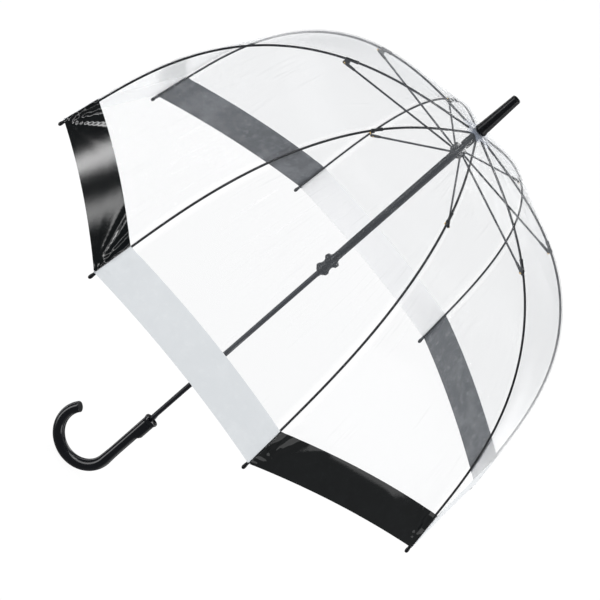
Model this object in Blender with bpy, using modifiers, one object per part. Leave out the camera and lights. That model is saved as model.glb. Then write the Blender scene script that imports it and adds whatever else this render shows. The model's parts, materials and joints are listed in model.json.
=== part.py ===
"""Stick umbrella with a deep clear dome, a crook handle and a long sliding runner.

The shaft stands along +Z with the ferrule up, and the crook curls towards -X. The origin is on the
shaft's axis at the middle of the straight grip. The ribs stand at 22.5 degrees and every 45 degrees
on from there, and the eight film gores fill the spaces between them. Everything is in metres.
"""

import math

import bmesh
import bpy
from mathutils import Matrix, Vector

NAME = "stick_umbrella"

# ---- clearances
GAP = 0.0003  # between pieces that touch on the real thing
SLIDE = 0.0003  # between the shaft and what slides on it, radially
PLAY = 0.0015  # between the closed runner and the handle's collar

# ---- canopy
RIBS = 8
FIRST_RIB = math.radians(22.5)
CROWN_RADIUS = 0.009  # where the canopy's ridge starts
CROWN_HEIGHT = 0.7510
CROWN_SLOPE = math.radians(81.0)  # of the ridge, from straight down
RIM_SLOPE = math.radians(12.5)
BEND_START = 0.020  # along the ridge; it is straight before this
BEND_END = 0.605  # and after this
FILM = 0.0004
FILM_LENGTH = 0.653  # along the ridge
HEM_WIDTH = 0.062
HEM_RISE = 0.007  # the rim is hollow between two tips

# ---- ribs and stretchers
ROD_RADIUS = 0.0017
CLAMP_RADIUS = 0.0025
CLAMP_LENGTH = 0.020
CLAMP_AT = 0.212  # along the ridge
LUG_DROP = 0.004  # from the rib's axis to the stretcher's upper pivot
LUG_THICKNESS = 0.0016
KNEE_HALF_GAP = 0.0021  # from the knee's axis to the middle of a rod's round end
ROD_SHORT = 0.005  # the rods end this far above the rim, inside their tips
TIP_LENGTH = 0.0165
TIP_RADIUS = 0.0029
STRETCHER_RADIUS = 0.0015
FITTING_RADIUS = 0.0023
FITTING_LENGTH = 0.019
EYE_RADIUS = 0.0012

# ---- shaft, crown and ferrule
SHAFT_RADIUS = 0.004
SHAFT_WALL = 0.0007
PIVOT_RADIUS = 0.0095  # of the slots that hold the ribs and the stretchers
FOLDED_KNEE_RADIUS = 0.0155
NOTCH_RADIUS = 0.0116
NOTCH_HEIGHT = 0.0060
NOTCH_FLARE = 0.0008  # the slots run down through this cone too
NECK_RADIUS = 0.0067
NECK_LENGTH = 0.0215
WIRE_RING_RADIUS = 0.0064
WIRE_RADIUS = 0.00045
PATCH_RADIUS = 0.028
PATCH_THICKNESS = 0.0006
FERRULE_LENGTH = 0.0725
FERRULE_BASE_RADIUS = 0.0097
FERRULE_END_RADIUS = 0.0070
FERRULE_SOCKET = 0.030

# ---- runner
RUNNER_DROP = 0.0410  # from the crown to the stretchers' lower pivots, when open
HEAD_RADIUS = 0.0110
HEAD_ABOVE = 0.0072
HEAD_BELOW = 0.0088
SLEEVE_RADIUS = 0.0062
GRIP_LENGTH = 0.035
GRIP_UPPER_RADIUS = 0.0130
GRIP_LOWER_RADIUS = 0.0115
GRIP_WAIST_RADIUS = 0.0080
GRIP_LOBES = 6
LIP_LENGTH = 0.003
KEYWAY_WIDTH = 0.0026
KEYWAY_RADIUS = 0.0054

# ---- catches
CATCH_LENGTH = 0.0080
CATCH_THICKNESS = 0.0018
CATCH_REACH = 0.0051  # from the shaft's axis

# ---- handle
COLLAR_TOP = 0.0515
COLLAR_LENGTH = 0.008
COLLAR_RADIUS = 0.0098
COLLAR_CUP_DEPTH = 0.003
GRIP_RADIUS = 0.00875
CROOK_RADIUS = 0.0475  # of the hook's centreline
CROOK_TUBE_RADIUS = 0.010
CROOK_END_RADIUS = 0.009
CROOK_SWEEP = math.radians(212.0)
CROOK_BOTTOM = -0.115
SOCKET_DEPTH = 0.040
BOSS_LENGTH = 0.034
BOSS_REACH = 0.0125
BOSS_RADIUS = 0.0070

TURN = 2 * math.pi / RIBS
HALF = TURN / 2
ROD_END = FILM_LENGTH - ROD_SHORT  # along the ridge
RUNNER_PIVOT_HEIGHT = CROWN_HEIGHT - RUNNER_DROP
BORE_RADIUS = SHAFT_RADIUS + SLIDE
# a rib runs this far under the ridge, so that its clamp clears both gores
RIB_DEPTH = (CLAMP_RADIUS + GAP + FILM / 2) / math.cos(HALF)
# each stretcher runs this far beside its rib, so that the two can cross while they fold
STRETCHER_OFFSET = CLAMP_RADIUS + GAP + FITTING_RADIUS


# ---------------------------------------------------------------- geometry
def ridge(s):
    """Radius, height and slope from straight down, at length s along the canopy's ridge."""
    steps = max(8, int(abs(s) / 0.003))
    radius, height = CROWN_RADIUS, CROWN_HEIGHT
    for i in range(steps):
        slope = ridge_slope(s * (i + 0.5) / steps)
        radius += math.sin(slope) * s / steps
        height -= math.cos(slope) * s / steps
    return radius, height, ridge_slope(s)


def ridge_slope(s):
    u = min(1.0, max(0.0, (s - BEND_START) / (BEND_END - BEND_START)))
    ease = u * u * (3 - 2 * u)
    return CROWN_SLOPE + (RIM_SLOPE - CROWN_SLOPE) * ease


def under_ridge(s, depth):
    """(radius, height) at a depth below the ridge, square to it."""
    radius, height, slope = ridge(s)
    return radius - depth * math.cos(slope), height - depth * math.sin(slope)


def knee():
    return under_ridge(CLAMP_AT, RIB_DEPTH)


def upper_pivot():
    """Where a stretcher hangs from its rib's clamp."""
    return under_ridge(CLAMP_AT, RIB_DEPTH + LUG_DROP)


def crown_pivot():
    return under_ridge(0.0, RIB_DEPTH)


def stretcher_length():
    radius, height = upper_pivot()
    return math.hypot(radius - PIVOT_RADIUS, height - RUNNER_PIVOT_HEIGHT)


def folding_turn():
    """How far a rib turns down about its crown pivot, until its knee is close to the shaft."""
    (crown_r, crown_z), (knee_r, knee_z) = crown_pivot(), knee()
    rib = math.hypot(knee_r - crown_r, knee_z - crown_z)
    folded = math.asin((FOLDED_KNEE_RADIUS - crown_r) / rib)
    return math.atan2(knee_r - crown_r, crown_z - knee_z) - folded


def folded_upper_pivot():
    (crown_r, crown_z), (pivot_r, pivot_z) = crown_pivot(), upper_pivot()
    turn, out, up = folding_turn(), pivot_r - crown_r, pivot_z - crown_z
    radius = crown_r + out * math.cos(turn) + up * math.sin(turn)
    return radius, crown_z + up * math.cos(turn) - out * math.sin(turn)


def runner_travel():
    """How far down the runner goes to lay the ribs and stretchers along the shaft."""
    radius, height = folded_upper_pivot()
    reach = math.sqrt(stretcher_length() ** 2 - (radius - PIVOT_RADIUS) ** 2)
    return RUNNER_PIVOT_HEIGHT - (height - reach)


HEAD_TOP = RUNNER_PIVOT_HEIGHT + HEAD_ABOVE
HEAD_BOTTOM = RUNNER_PIVOT_HEIGHT - HEAD_BELOW
GRIP_BOTTOM = COLLAR_TOP + PLAY + runner_travel()
GRIP_TOP = GRIP_BOTTOM + GRIP_LENGTH
SHAFT_BOTTOM = COLLAR_TOP - COLLAR_LENGTH - SOCKET_DEPTH + 0.002
FERRULE_BASE = CROWN_HEIGHT + FILM / 2 + PATCH_THICKNESS + 2 * GAP + 0.0012
SHAFT_TOP = FERRULE_BASE + FERRULE_SOCKET - 0.001


# ---------------------------------------------------------------- blender helpers
def clear_scene():
    for obj in list(bpy.data.objects):
        bpy.data.objects.remove(obj, do_unlink=True)


def make_collection(name):
    collection = bpy.data.collections.new(name)
    bpy.context.scene.collection.children.link(collection)
    return collection


def material(name, color, roughness, metallic=0.0, alpha=1.0):
    mat = bpy.data.materials.new(name)
    mat.use_nodes = True
    shader = mat.node_tree.nodes["Principled BSDF"]
    shader.inputs["Base Color"].default_value = (*color, 1.0)
    shader.inputs["Roughness"].default_value = roughness
    shader.inputs["Metallic"].default_value = metallic
    shader.inputs["Alpha"].default_value = alpha
    return mat


def place(name, data, mat, location=(0, 0, 0), turn=0.0, parent=None):
    """A named part from mesh or curve data, with its origin at location and turned about +Z."""
    obj = bpy.data.objects.new(name, data)
    PARTS.objects.link(obj)
    obj.location = location
    obj.rotation_euler = (0, 0, turn)
    obj.parent = parent
    if not data.materials:
        data.materials.append(mat)
    obj.material_slots[0].link = "OBJECT"
    obj.material_slots[0].material = mat
    return obj


def as_mesh(obj):
    """The object's evaluated mesh, welded, with the object removed."""
    bpy.context.view_layer.update()
    seen = obj.evaluated_get(bpy.context.evaluated_depsgraph_get())
    mesh = bpy.data.meshes.new_from_object(seen)
    mesh.materials.clear()
    mesh.transform(obj.matrix_world)
    bm = bmesh.new()
    bm.from_mesh(mesh)
    bmesh.ops.remove_doubles(bm, verts=bm.verts, dist=1e-6)
    bmesh.ops.recalc_face_normals(bm, faces=bm.faces)
    bm.to_mesh(mesh)
    bm.free()
    bpy.data.objects.remove(obj, do_unlink=True)
    return mesh


def smooth(mesh, angle=35.0):
    mesh.shade_smooth()
    mesh.set_sharp_from_angle(angle=math.radians(angle))
    return mesh


def cutter(name, data, location=(0, 0, 0)):
    obj = bpy.data.objects.new(name, data)
    CUTTERS.objects.link(obj)
    obj.location = location
    obj.hide_render = True
    obj.display_type = "WIRE"
    return obj


def box_mesh(name, size, center=(0, 0, 0), matrix=None):
    mesh = bpy.data.meshes.new(name)
    bm = bmesh.new()
    bmesh.ops.create_cube(bm, size=1.0)
    bmesh.ops.scale(bm, vec=size, verts=bm.verts)
    bmesh.ops.translate(bm, vec=center, verts=bm.verts)
    if matrix is not None:
        bmesh.ops.transform(bm, matrix=matrix, verts=bm.verts)
    bm.to_mesh(mesh)
    bm.free()
    return mesh


def rod(name, points, radii, resolution=2):
    """A round rod through the points, with its own radius at each, as mesh data."""
    curve = bpy.data.curves.new(name, "CURVE")
    curve.dimensions = "3D"
    curve.bevel_depth = 1.0
    curve.bevel_resolution = resolution
    curve.use_fill_caps = True
    spline = curve.splines.new("POLY")
    spline.points.add(len(points) - 1)
    for point, co, radius in zip(spline.points, points, radii):
        point.co = (*co, 1.0)
        point.radius = radius
    obj = bpy.data.objects.new(name, curve)
    PARTS.objects.link(obj)
    return as_mesh(obj)


def turned(name, profile, steps=32, closed=False):
    """A turned solid from (radius, height) points that run down its outer side, as mesh data."""
    mesh = bpy.data.meshes.new(name)
    bm = bmesh.new()
    verts = [bm.verts.new((radius, 0, height)) for radius, height in profile]
    for a, b in zip(verts, verts[1:]):
        bm.edges.new((a, b))
    if closed:
        bm.edges.new((verts[-1], verts[0]))
    bm.to_mesh(mesh)
    bm.free()
    obj = bpy.data.objects.new(name, mesh)
    PARTS.objects.link(obj)
    screw = obj.modifiers.new("Screw", "SCREW")
    screw.steps = steps
    screw.render_steps = steps
    screw.use_merge_vertices = True
    screw.merge_threshold = 0.00001
    return smooth(as_mesh(obj))


def boolean(mesh, operation, *tools):
    """The mesh joined with or cut by each tool mesh in turn."""
    for number, tool in enumerate(tools):
        obj = bpy.data.objects.new(mesh.name, mesh)
        PARTS.objects.link(obj)
        guide = cutter(f"{mesh.name}_{operation.lower()}_{number}", tool)
        change = obj.modifiers.new("Boolean", "BOOLEAN")
        change.operation = operation
        change.solver = "EXACT"
        change.object = guide
        mesh = as_mesh(obj)
    return smooth(mesh)


# ---------------------------------------------------------------- shaft and crown
def build_shaft():
    inner = SHAFT_RADIUS - SHAFT_WALL
    profile = [
        (SHAFT_RADIUS, SHAFT_TOP),
        (SHAFT_RADIUS, SHAFT_BOTTOM),
        (inner, SHAFT_BOTTOM),
        (inner, SHAFT_TOP),
    ]
    tube = turned("shaft", profile, 24, closed=True)
    slots = [
        box_mesh(
            f"{name}_slot",
            (SHAFT_RADIUS, CATCH_THICKNESS + 2 * GAP, CATCH_LENGTH + 2 * GAP),
            (SHAFT_RADIUS, 0, height),
        )
        for name, height in (("upper", upper_catch_height()), ("lower", lower_catch_height()))
    ]
    return place("shaft", boolean(tube, "DIFFERENCE", *slots), STEEL)


def upper_catch_height():
    return GRIP_BOTTOM - GAP - CATCH_LENGTH / 2


def lower_catch_height():
    """The closed runner's lip lies just under the lower catch."""
    return GRIP_BOTTOM - runner_travel() + LIP_LENGTH + GAP + CATCH_LENGTH / 2


def build_catch(name, height, pointing_up):
    """A flat spring tongue that stands out through the shaft's slot, square at its holding end."""
    inner = SHAFT_RADIUS - SHAFT_WALL - 0.0012
    holding = CATCH_LENGTH / 2 if pointing_up else -CATCH_LENGTH / 2
    outline = [
        (inner, holding),
        (CATCH_REACH, holding),
        (CATCH_REACH, holding * 0.4),
        (SHAFT_RADIUS - 0.0001, -holding),
        (inner, -holding),
    ]
    curve = bpy.data.curves.new(name, "CURVE")
    curve.dimensions = "2D"
    curve.fill_mode = "BOTH"
    curve.extrude = CATCH_THICKNESS / 2
    spline = curve.splines.new("POLY")
    spline.points.add(len(outline) - 1)
    spline.use_cyclic_u = True
    for point, (x, y) in zip(spline.points, outline):
        point.co = (x, y, 0, 1)
    obj = bpy.data.objects.new(name, curve)
    PARTS.objects.link(obj)
    obj.rotation_euler = (math.pi / 2, 0, 0)
    return place(name, as_mesh(obj), STEEL, (0, 0, height))


def build_ferrule():
    """A tapered tube over the shaft's top with a flat, slightly rounded end."""
    end = FERRULE_BASE + FERRULE_LENGTH
    profile = [
        (0, end),
        (FERRULE_END_RADIUS - 0.0012, end),
        (FERRULE_END_RADIUS - 0.0003, end - 0.0004),
        (FERRULE_END_RADIUS, end - 0.0014),
        (FERRULE_BASE_RADIUS - 0.0006, FERRULE_BASE + 0.006),
        (FERRULE_BASE_RADIUS, FERRULE_BASE + 0.0045),
        (FERRULE_BASE_RADIUS, FERRULE_BASE + 0.0008),
        (FERRULE_BASE_RADIUS - 0.0007, FERRULE_BASE),
        (BORE_RADIUS, FERRULE_BASE),
        (BORE_RADIUS, FERRULE_BASE + FERRULE_SOCKET),
        (0, FERRULE_BASE + FERRULE_SOCKET),
    ]
    return place("ferrule", turned("ferrule", profile, 24), BLACK_PLASTIC)


def build_top_notch():
    """The slotted disc that holds the ribs' inner ends, with its neck below."""
    (_, pivot_z), slot = crown_pivot(), 2 * (EYE_RADIUS + GAP)
    top = pivot_z + NOTCH_HEIGHT * 0.32
    bottom = top - NOTCH_HEIGHT
    profile = [
        (NOTCH_RADIUS, top),
        (NOTCH_RADIUS, bottom),
        (NECK_RADIUS, bottom - NOTCH_FLARE),
        (NECK_RADIUS, bottom - NECK_LENGTH),
        (BORE_RADIUS, bottom - NECK_LENGTH),
        (BORE_RADIUS, top),
    ]
    disc = turned("top_notch", profile, 40, closed=True)
    start = PIVOT_RADIUS - EYE_RADIUS - 4 * GAP
    cuts = [
        box_mesh(
            f"rib_slot_{n}",
            (0.01, slot, 2 * NOTCH_HEIGHT),
            (start + 0.005, 0, bottom + NOTCH_HEIGHT - NOTCH_FLARE - GAP),
            Matrix.Rotation(FIRST_RIB + n * TURN, 4, "Z"),
        )
        for n in range(RIBS)
    ]
    return place("top_notch", boolean(disc, "DIFFERENCE", *cuts), BLACK_PLASTIC)


def build_notch_wire():
    """The wire ring that keeps the film's ring of holes on the notch, above the ribs' eyes."""
    height = crown_pivot()[1] + NOTCH_HEIGHT * 0.32 + WIRE_RADIUS + GAP
    turns = [-2 * math.pi * n / 6 for n in range(6)]
    profile = [
        (WIRE_RING_RADIUS + WIRE_RADIUS * math.cos(a), height + WIRE_RADIUS * math.sin(a))
        for a in turns
    ]
    return place("notch_wire", turned("notch_wire", profile, 24, closed=True), STEEL)


def build_crown_patch():
    """A star of thicker film on top of the canopy, under the ferrule."""
    points = 4 * RIBS
    mesh = bpy.data.meshes.new("crown_patch")
    bm = bmesh.new()
    rings = []
    for share in (0.0, 0.5, 1.0):
        ring = []
        for n in range(points):
            angle = FIRST_RIB + 2 * math.pi * n / points
            wave = 0.5 + 0.5 * math.cos(RIBS * (angle - FIRST_RIB))
            outer = PATCH_RADIUS * (0.84 + 0.16 * wave)
            inner = BORE_RADIUS + 0.0012
            radius = inner + (outer - inner) * share
            ring.append(bm.verts.new(patch_point(radius, angle)))
        rings.append(ring)
    for low, high in zip(rings, rings[1:]):
        for n in range(points):
            after = (n + 1) % points
            bm.faces.new((low[n], high[n], high[after], low[after]))
    bmesh.ops.recalc_face_normals(bm, faces=bm.faces)
    bm.to_mesh(mesh)
    bm.free()
    obj = place("crown_patch", mesh, PATCH_FILM)
    shell = obj.modifiers.new("Solidify", "SOLIDIFY")
    shell.thickness = PATCH_THICKNESS
    shell.offset = 0.0
    return obj


def patch_point(radius, angle):
    """A point on the cone that lies just over the gores' flat tops, at its own clearance."""
    rise = FILM / 2 + PATCH_THICKNESS / 2 + 2 * GAP
    fall = (max(radius, CROWN_RADIUS) - CROWN_RADIUS) / math.tan(CROWN_SLOPE)
    return (radius * math.cos(angle), radius * math.sin(angle), CROWN_HEIGHT + rise - fall)


# ---------------------------------------------------------------- canopy
def gore_mesh(name, start, end, rise_start, rise_end, rows, columns):
    """Film between two ribs, from start to end along the ridge, in the gore's own frame.

    X is outwards at the gore's middle, and every level line is straight from rib to rib. The mesh's
    origin is the gore's hinge at the crown.
    """
    mesh = bpy.data.meshes.new(name)
    bm = bmesh.new()
    bmesh.ops.create_grid(bm, x_segments=columns, y_segments=rows, size=0.5)
    inset = (GAP / 2 + FILM / 2 * math.sin(HALF)) / math.cos(HALF) + 0.0001
    hinge_x, hinge_z = gore_hinge()
    for vert in bm.verts:
        across, along = 2 * vert.co.x, vert.co.y + 0.5
        hollow = 1 - across * across
        first = start - rise_start * hollow
        last = end - rise_end * hollow
        radius, height, _ = ridge(first + (last - first) * along)
        half = radius * math.sin(HALF) - inset
        vert.co = (radius * math.cos(HALF) - hinge_x, across * half, height - hinge_z)
    for face in bm.faces:
        face.normal_update()
    bmesh.ops.recalc_face_normals(bm, faces=bm.faces)
    if sum(face.normal.z for face in bm.faces) < 0:
        bmesh.ops.reverse_faces(bm, faces=bm.faces)
    bm.to_mesh(mesh)
    bm.free()
    return mesh


def gore_hinge():
    """(outward distance at the gore's middle, height) of the gores' hinge lines at the crown."""
    radius, height, _ = ridge(0.002)
    return radius * math.cos(HALF), height


def build_gore(number, panel, border):
    angle = FIRST_RIB + (number - 0.5) * TURN
    hinge_x, hinge_z = gore_hinge()
    spot = (hinge_x * math.cos(angle), hinge_x * math.sin(angle), hinge_z)
    dark = number % 2 == 1
    pieces = [
        place(f"canopy_panel_{number}", panel, CLEAR_FILM, spot, angle),
        place(f"border_band_{number}", border, BLACK_FILM if dark else SILVER_FILM, spot, angle),
    ]
    for piece in pieces:
        shell = piece.modifiers.new("Solidify", "SOLIDIFY")
        shell.thickness = FILM
        shell.offset = 0.0


def build_canopy():
    hem = FILM_LENGTH - HEM_WIDTH
    panel = gore_mesh("canopy_panel", 0.002, hem - GAP, 0, HEM_RISE, 14, 4)
    border = gore_mesh("border_band", hem, FILM_LENGTH, HEM_RISE, HEM_RISE, 2, 4)
    for number in range(1, RIBS + 1):
        build_gore(number, panel, border)


# ---------------------------------------------------------------- ribs and stretchers
def rib_points(stations, origin):
    """Points on a rib's axis, from (length along the ridge, radius) pairs, about an origin."""
    points, radii = [], []
    for s, radius in stations:
        r, z = under_ridge(s, RIB_DEPTH)
        points.append((r - origin[0], 0, z - origin[1]))
        radii.append(radius)
    return points, radii


def rib_inner_mesh():
    """Rod from the crown pivot to the knee, with its clamp and the lug under it."""
    clamp_start = CLAMP_AT - CLAMP_LENGTH
    round_end = CLAMP_AT - KNEE_HALF_GAP
    # the thin eye is long enough to clear the notch's slot when the rib hangs down
    full = NOTCH_HEIGHT + 0.0025
    stations = [
        (-0.0008, EYE_RADIUS * 0.5),
        (-0.0003, EYE_RADIUS),
        (NOTCH_HEIGHT, EYE_RADIUS),
        (full, ROD_RADIUS),
    ]
    steps = 8
    for n in range(1, steps):
        stations.append((full + (clamp_start - full) * n / steps, ROD_RADIUS))
    stations += [
        (clamp_start, ROD_RADIUS),
        (clamp_start + 0.0006, CLAMP_RADIUS),
        (round_end - 0.0016, CLAMP_RADIUS),
        (round_end - 0.0010, ROD_RADIUS),
        (round_end, ROD_RADIUS),
        (round_end + 0.6 * ROD_RADIUS, ROD_RADIUS * 0.8),
        (round_end + ROD_RADIUS, ROD_RADIUS * 0.3),
    ]
    body = rod("rib_inner", *rib_points(stations, crown_pivot()), 1)
    (knee_r, knee_z), (_, _, slope) = knee(), ridge(CLAMP_AT)
    origin = crown_pivot()
    lug = box_mesh(
        "lug",
        (0.0062, LUG_THICKNESS, LUG_DROP + 0.002),
        (-0.0070, 0, -(LUG_DROP + 0.002) / 2),
        Matrix.Translation((knee_r - origin[0], 0, knee_z - origin[1]))
        @ Matrix.Rotation(math.pi / 2 - slope, 4, "Y"),
    )
    return boolean(body, "UNION", lug)


def rib_outer_mesh():
    start = CLAMP_AT + KNEE_HALF_GAP
    stations = [
        (start - ROD_RADIUS, ROD_RADIUS * 0.3),
        (start - 0.6 * ROD_RADIUS, ROD_RADIUS * 0.8),
        (start, ROD_RADIUS),
    ]
    steps = 14
    for n in range(1, steps + 1):
        stations.append((start + (ROD_END - start) * n / steps, ROD_RADIUS))
    return smooth(rod("rib_outer", *rib_points(stations, knee()), 1))


def tip_mesh():
    """A drop-shaped cap past the rod's end, about the knee's origin."""
    shape = [(0.0, 0.70), (0.12, 0.76), (0.45, 0.82), (0.62, 0.97), (0.74, 1.0), (0.86, 0.93),
             (0.95, 0.68), (1.0, 0.32)]
    start = ROD_END + GAP
    stations = [(start + TIP_LENGTH * far, TIP_RADIUS * wide) for far, wide in shape]
    return smooth(rod("rib_tip", *rib_points(stations, knee())))


def stretcher_mesh():
    """Straight rod from the runner's pivot to the rib's clamp, with a fitting at its outer end."""
    radius, height = upper_pivot()
    reach = Vector((radius - PIVOT_RADIUS, 0, height - RUNNER_PIVOT_HEIGHT))
    along, length = reach.normalized(), reach.length
    stations = [
        (-EYE_RADIUS, EYE_RADIUS * 0.5),
        (-0.4 * EYE_RADIUS, EYE_RADIUS),
        (0.0045, EYE_RADIUS),
        (0.0070, STRETCHER_RADIUS),
        (length - FITTING_LENGTH, STRETCHER_RADIUS),
        (length - FITTING_LENGTH + 0.001, FITTING_RADIUS * 0.86),
        (length - 0.006, FITTING_RADIUS),
        (length + 0.001, FITTING_RADIUS),
        (length + 0.0022, FITTING_RADIUS * 0.6),
    ]
    points = [tuple(along * s) for s, _ in stations]
    return smooth(rod("stretcher", points, [wide for _, wide in stations]))


def build_ribs():
    inner, outer, tip = rib_inner_mesh(), rib_outer_mesh(), tip_mesh()
    arm = stretcher_mesh()
    (crown_r, crown_z), (knee_r, knee_z) = crown_pivot(), knee()
    for number in range(1, RIBS + 1):
        angle = FIRST_RIB + (number - 1) * TURN
        out = Vector((math.cos(angle), math.sin(angle), 0))
        side = Vector((-math.sin(angle), math.cos(angle), 0))
        up = Vector((0, 0, 1))
        at_crown = out * crown_r + up * crown_z
        at_knee = out * knee_r + up * knee_z
        at_runner = out * PIVOT_RADIUS + side * STRETCHER_OFFSET + up * RUNNER_PIVOT_HEIGHT
        place(f"rib_{number}_inner", inner, FIBREGLASS, at_crown, angle)
        place(f"rib_{number}_outer", outer, FIBREGLASS, at_knee, angle)
        place(f"rib_{number}_tip", tip, BLACK_PLASTIC, at_knee, angle)
        place(f"stretcher_{number}", arm, STEEL, at_runner, angle)


# ---------------------------------------------------------------- runner
def keyway(low, high):
    return box_mesh(
        "keyway",
        (KEYWAY_RADIUS, KEYWAY_WIDTH, high - low),
        (KEYWAY_RADIUS / 2, 0, (low + high) / 2),
    )


def build_runner_head():
    """The slotted head that the stretchers' inner ends turn in."""
    profile = [
        (HEAD_RADIUS - 0.0006, HEAD_TOP),
        (HEAD_RADIUS, HEAD_TOP - 0.0008),
        (HEAD_RADIUS, HEAD_BOTTOM + 0.004),
        (HEAD_RADIUS - 0.0012, HEAD_BOTTOM + 0.0025),
        (SLEEVE_RADIUS + 0.0012, HEAD_BOTTOM),
        (BORE_RADIUS, HEAD_BOTTOM),
        (BORE_RADIUS, HEAD_TOP),
    ]
    disc = turned("runner_head", profile, 40, closed=True)
    low = RUNNER_PIVOT_HEIGHT - EYE_RADIUS - 4 * GAP
    high = HEAD_TOP + 0.002
    start = PIVOT_RADIUS - EYE_RADIUS - 4 * GAP
    cuts = [
        box_mesh(
            f"stretcher_slot_{n}",
            (0.01, 2 * (EYE_RADIUS + GAP), high - low),
            (start + 0.005, STRETCHER_OFFSET, (low + high) / 2),
            Matrix.Rotation(FIRST_RIB + n * TURN, 4, "Z"),
        )
        for n in range(RIBS)
    ]
    key = keyway(HEAD_BOTTOM - 0.001, HEAD_TOP + 0.001)
    return place("runner_head", boolean(disc, "DIFFERENCE", *cuts, key), BLACK_PLASTIC)


def build_runner_sleeve():
    top, bottom = HEAD_BOTTOM - GAP, GRIP_TOP + GAP
    profile = [
        (SLEEVE_RADIUS, top),
        (SLEEVE_RADIUS, bottom),
        (BORE_RADIUS, bottom),
        (BORE_RADIUS, top),
    ]
    tube = turned("runner_sleeve", profile, 24, closed=True)
    key = keyway(bottom - 0.001, top + 0.001)
    return place("runner_sleeve", boolean(tube, "DIFFERENCE", key), BLACK_PLASTIC)


def build_runner_grip():
    """The spool that the hand slides: two lobed flanges, a waist and a lip under the keyway."""
    upper, lower = GRIP_TOP - 0.0085, GRIP_BOTTOM + 0.0065
    waist = (upper + lower) / 2
    profile = [
        (SLEEVE_RADIUS + 0.0004, GRIP_TOP),
        (SLEEVE_RADIUS + 0.0010, GRIP_TOP - 0.0035),
        (GRIP_UPPER_RADIUS - 0.0016, upper + 0.0026),
        (GRIP_UPPER_RADIUS, upper + 0.0013),
        (GRIP_UPPER_RADIUS, upper - 0.0013),
        (GRIP_UPPER_RADIUS - 0.0020, upper - 0.0030),
        (GRIP_WAIST_RADIUS + 0.0009, upper - 0.0060),
        (GRIP_WAIST_RADIUS, waist),
        (GRIP_WAIST_RADIUS + 0.0007, lower + 0.0052),
        (GRIP_LOWER_RADIUS - 0.0016, lower + 0.0027),
        (GRIP_LOWER_RADIUS, lower + 0.0012),
        (GRIP_LOWER_RADIUS, lower - 0.0012),
        (GRIP_LOWER_RADIUS - 0.0016, lower - 0.0026),
        (SLEEVE_RADIUS + 0.0012, GRIP_BOTTOM + 0.0010),
        (SLEEVE_RADIUS + 0.0004, GRIP_BOTTOM),
        (BORE_RADIUS, GRIP_BOTTOM),
        (BORE_RADIUS, GRIP_TOP),
    ]
    spool = turned("runner_grip", profile, 36, closed=True)
    for vert in spool.vertices:
        radius = math.hypot(vert.co.x, vert.co.y)
        if radius < GRIP_WAIST_RADIUS:
            continue
        angle = math.atan2(vert.co.y, vert.co.x)
        share = (radius - GRIP_WAIST_RADIUS) / (GRIP_UPPER_RADIUS - GRIP_WAIST_RADIUS)
        scale = 1 - 0.07 * share * (0.5 + 0.5 * math.cos(GRIP_LOBES * angle))
        vert.co.x *= scale
        vert.co.y *= scale
    key = keyway(GRIP_BOTTOM + LIP_LENGTH, GRIP_TOP + 0.001)
    return place("runner_grip", boolean(spool, "DIFFERENCE", key), BLACK_PLASTIC)


# ---------------------------------------------------------------- handle
def crook_stations():
    """(x, z, tube radius) down the straight grip and round the hook."""
    center_z = CROOK_BOTTOM + CROOK_TUBE_RADIUS + CROOK_RADIUS
    top = COLLAR_TOP - COLLAR_LENGTH - GAP
    straight = [
        (0, top, GRIP_RADIUS - 0.0005),
        (0, top - 0.0006, GRIP_RADIUS),
        (0, top - BOSS_LENGTH, GRIP_RADIUS),
        (0, center_z + 0.030, GRIP_RADIUS + 0.0002),
        (0, center_z + 0.012, GRIP_RADIUS + 0.0006),
    ]
    steps = 34
    for n in range(steps + 1):
        share = n / steps
        angle = -CROOK_SWEEP * share
        if share < 0.3:
            wide = GRIP_RADIUS + 0.0009 + (CROOK_TUBE_RADIUS - GRIP_RADIUS - 0.0009) * share / 0.3
        else:
            late = max(0.0, (share - 0.6) / 0.4)
            wide = CROOK_TUBE_RADIUS + (CROOK_END_RADIUS - CROOK_TUBE_RADIUS) * late
        x = -CROOK_RADIUS + CROOK_RADIUS * math.cos(angle)
        straight.append((x, center_z + CROOK_RADIUS * math.sin(angle), wide))
    x, z, wide = straight[-1]
    straight[-1] = (x, z, wide - 0.0007)
    before = -CROOK_SWEEP + 0.0009 / CROOK_RADIUS
    x = -CROOK_RADIUS + CROOK_RADIUS * math.cos(before)
    straight.insert(-1, (x, center_z + CROOK_RADIUS * math.sin(before), wide))
    return straight


def build_handle():
    stations = crook_stations()
    points = [(x, 0, z) for x, z, _ in stations]
    crook = rod("handle", points, [wide for _, _, wide in stations], 7)
    top = COLLAR_TOP - COLLAR_LENGTH - GAP
    # the swelling on the hook's far side, under the collar
    spine = [
        (BOSS_REACH - BOSS_RADIUS, 0, top - 0.0004),
        (BOSS_REACH - BOSS_RADIUS, 0, top - 0.0010),
        (BOSS_REACH - BOSS_RADIUS, 0, top - BOSS_LENGTH * 0.72),
        (BOSS_REACH - BOSS_RADIUS - 0.0022, 0, top - BOSS_LENGTH * 0.88),
        (0, 0, top - BOSS_LENGTH * 1.05),
    ]
    sizes = [BOSS_RADIUS - 0.0005, BOSS_RADIUS, BOSS_RADIUS, BOSS_RADIUS, BOSS_RADIUS - 0.001]
    boss = rod("handle_boss", spine, sizes, 6)
    socket = turned(
        "handle_socket",
        [
            (0, top + 0.01),
            (BORE_RADIUS, top + 0.01),
            (BORE_RADIUS, top - SOCKET_DEPTH),
            (0, top - SOCKET_DEPTH),
        ],
        28,
    )
    joined = boolean(crook, "UNION", boss)
    joined.name = "handle_joined"
    return place("handle", boolean(joined, "DIFFERENCE", socket), GLOSS_BLACK)


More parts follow.
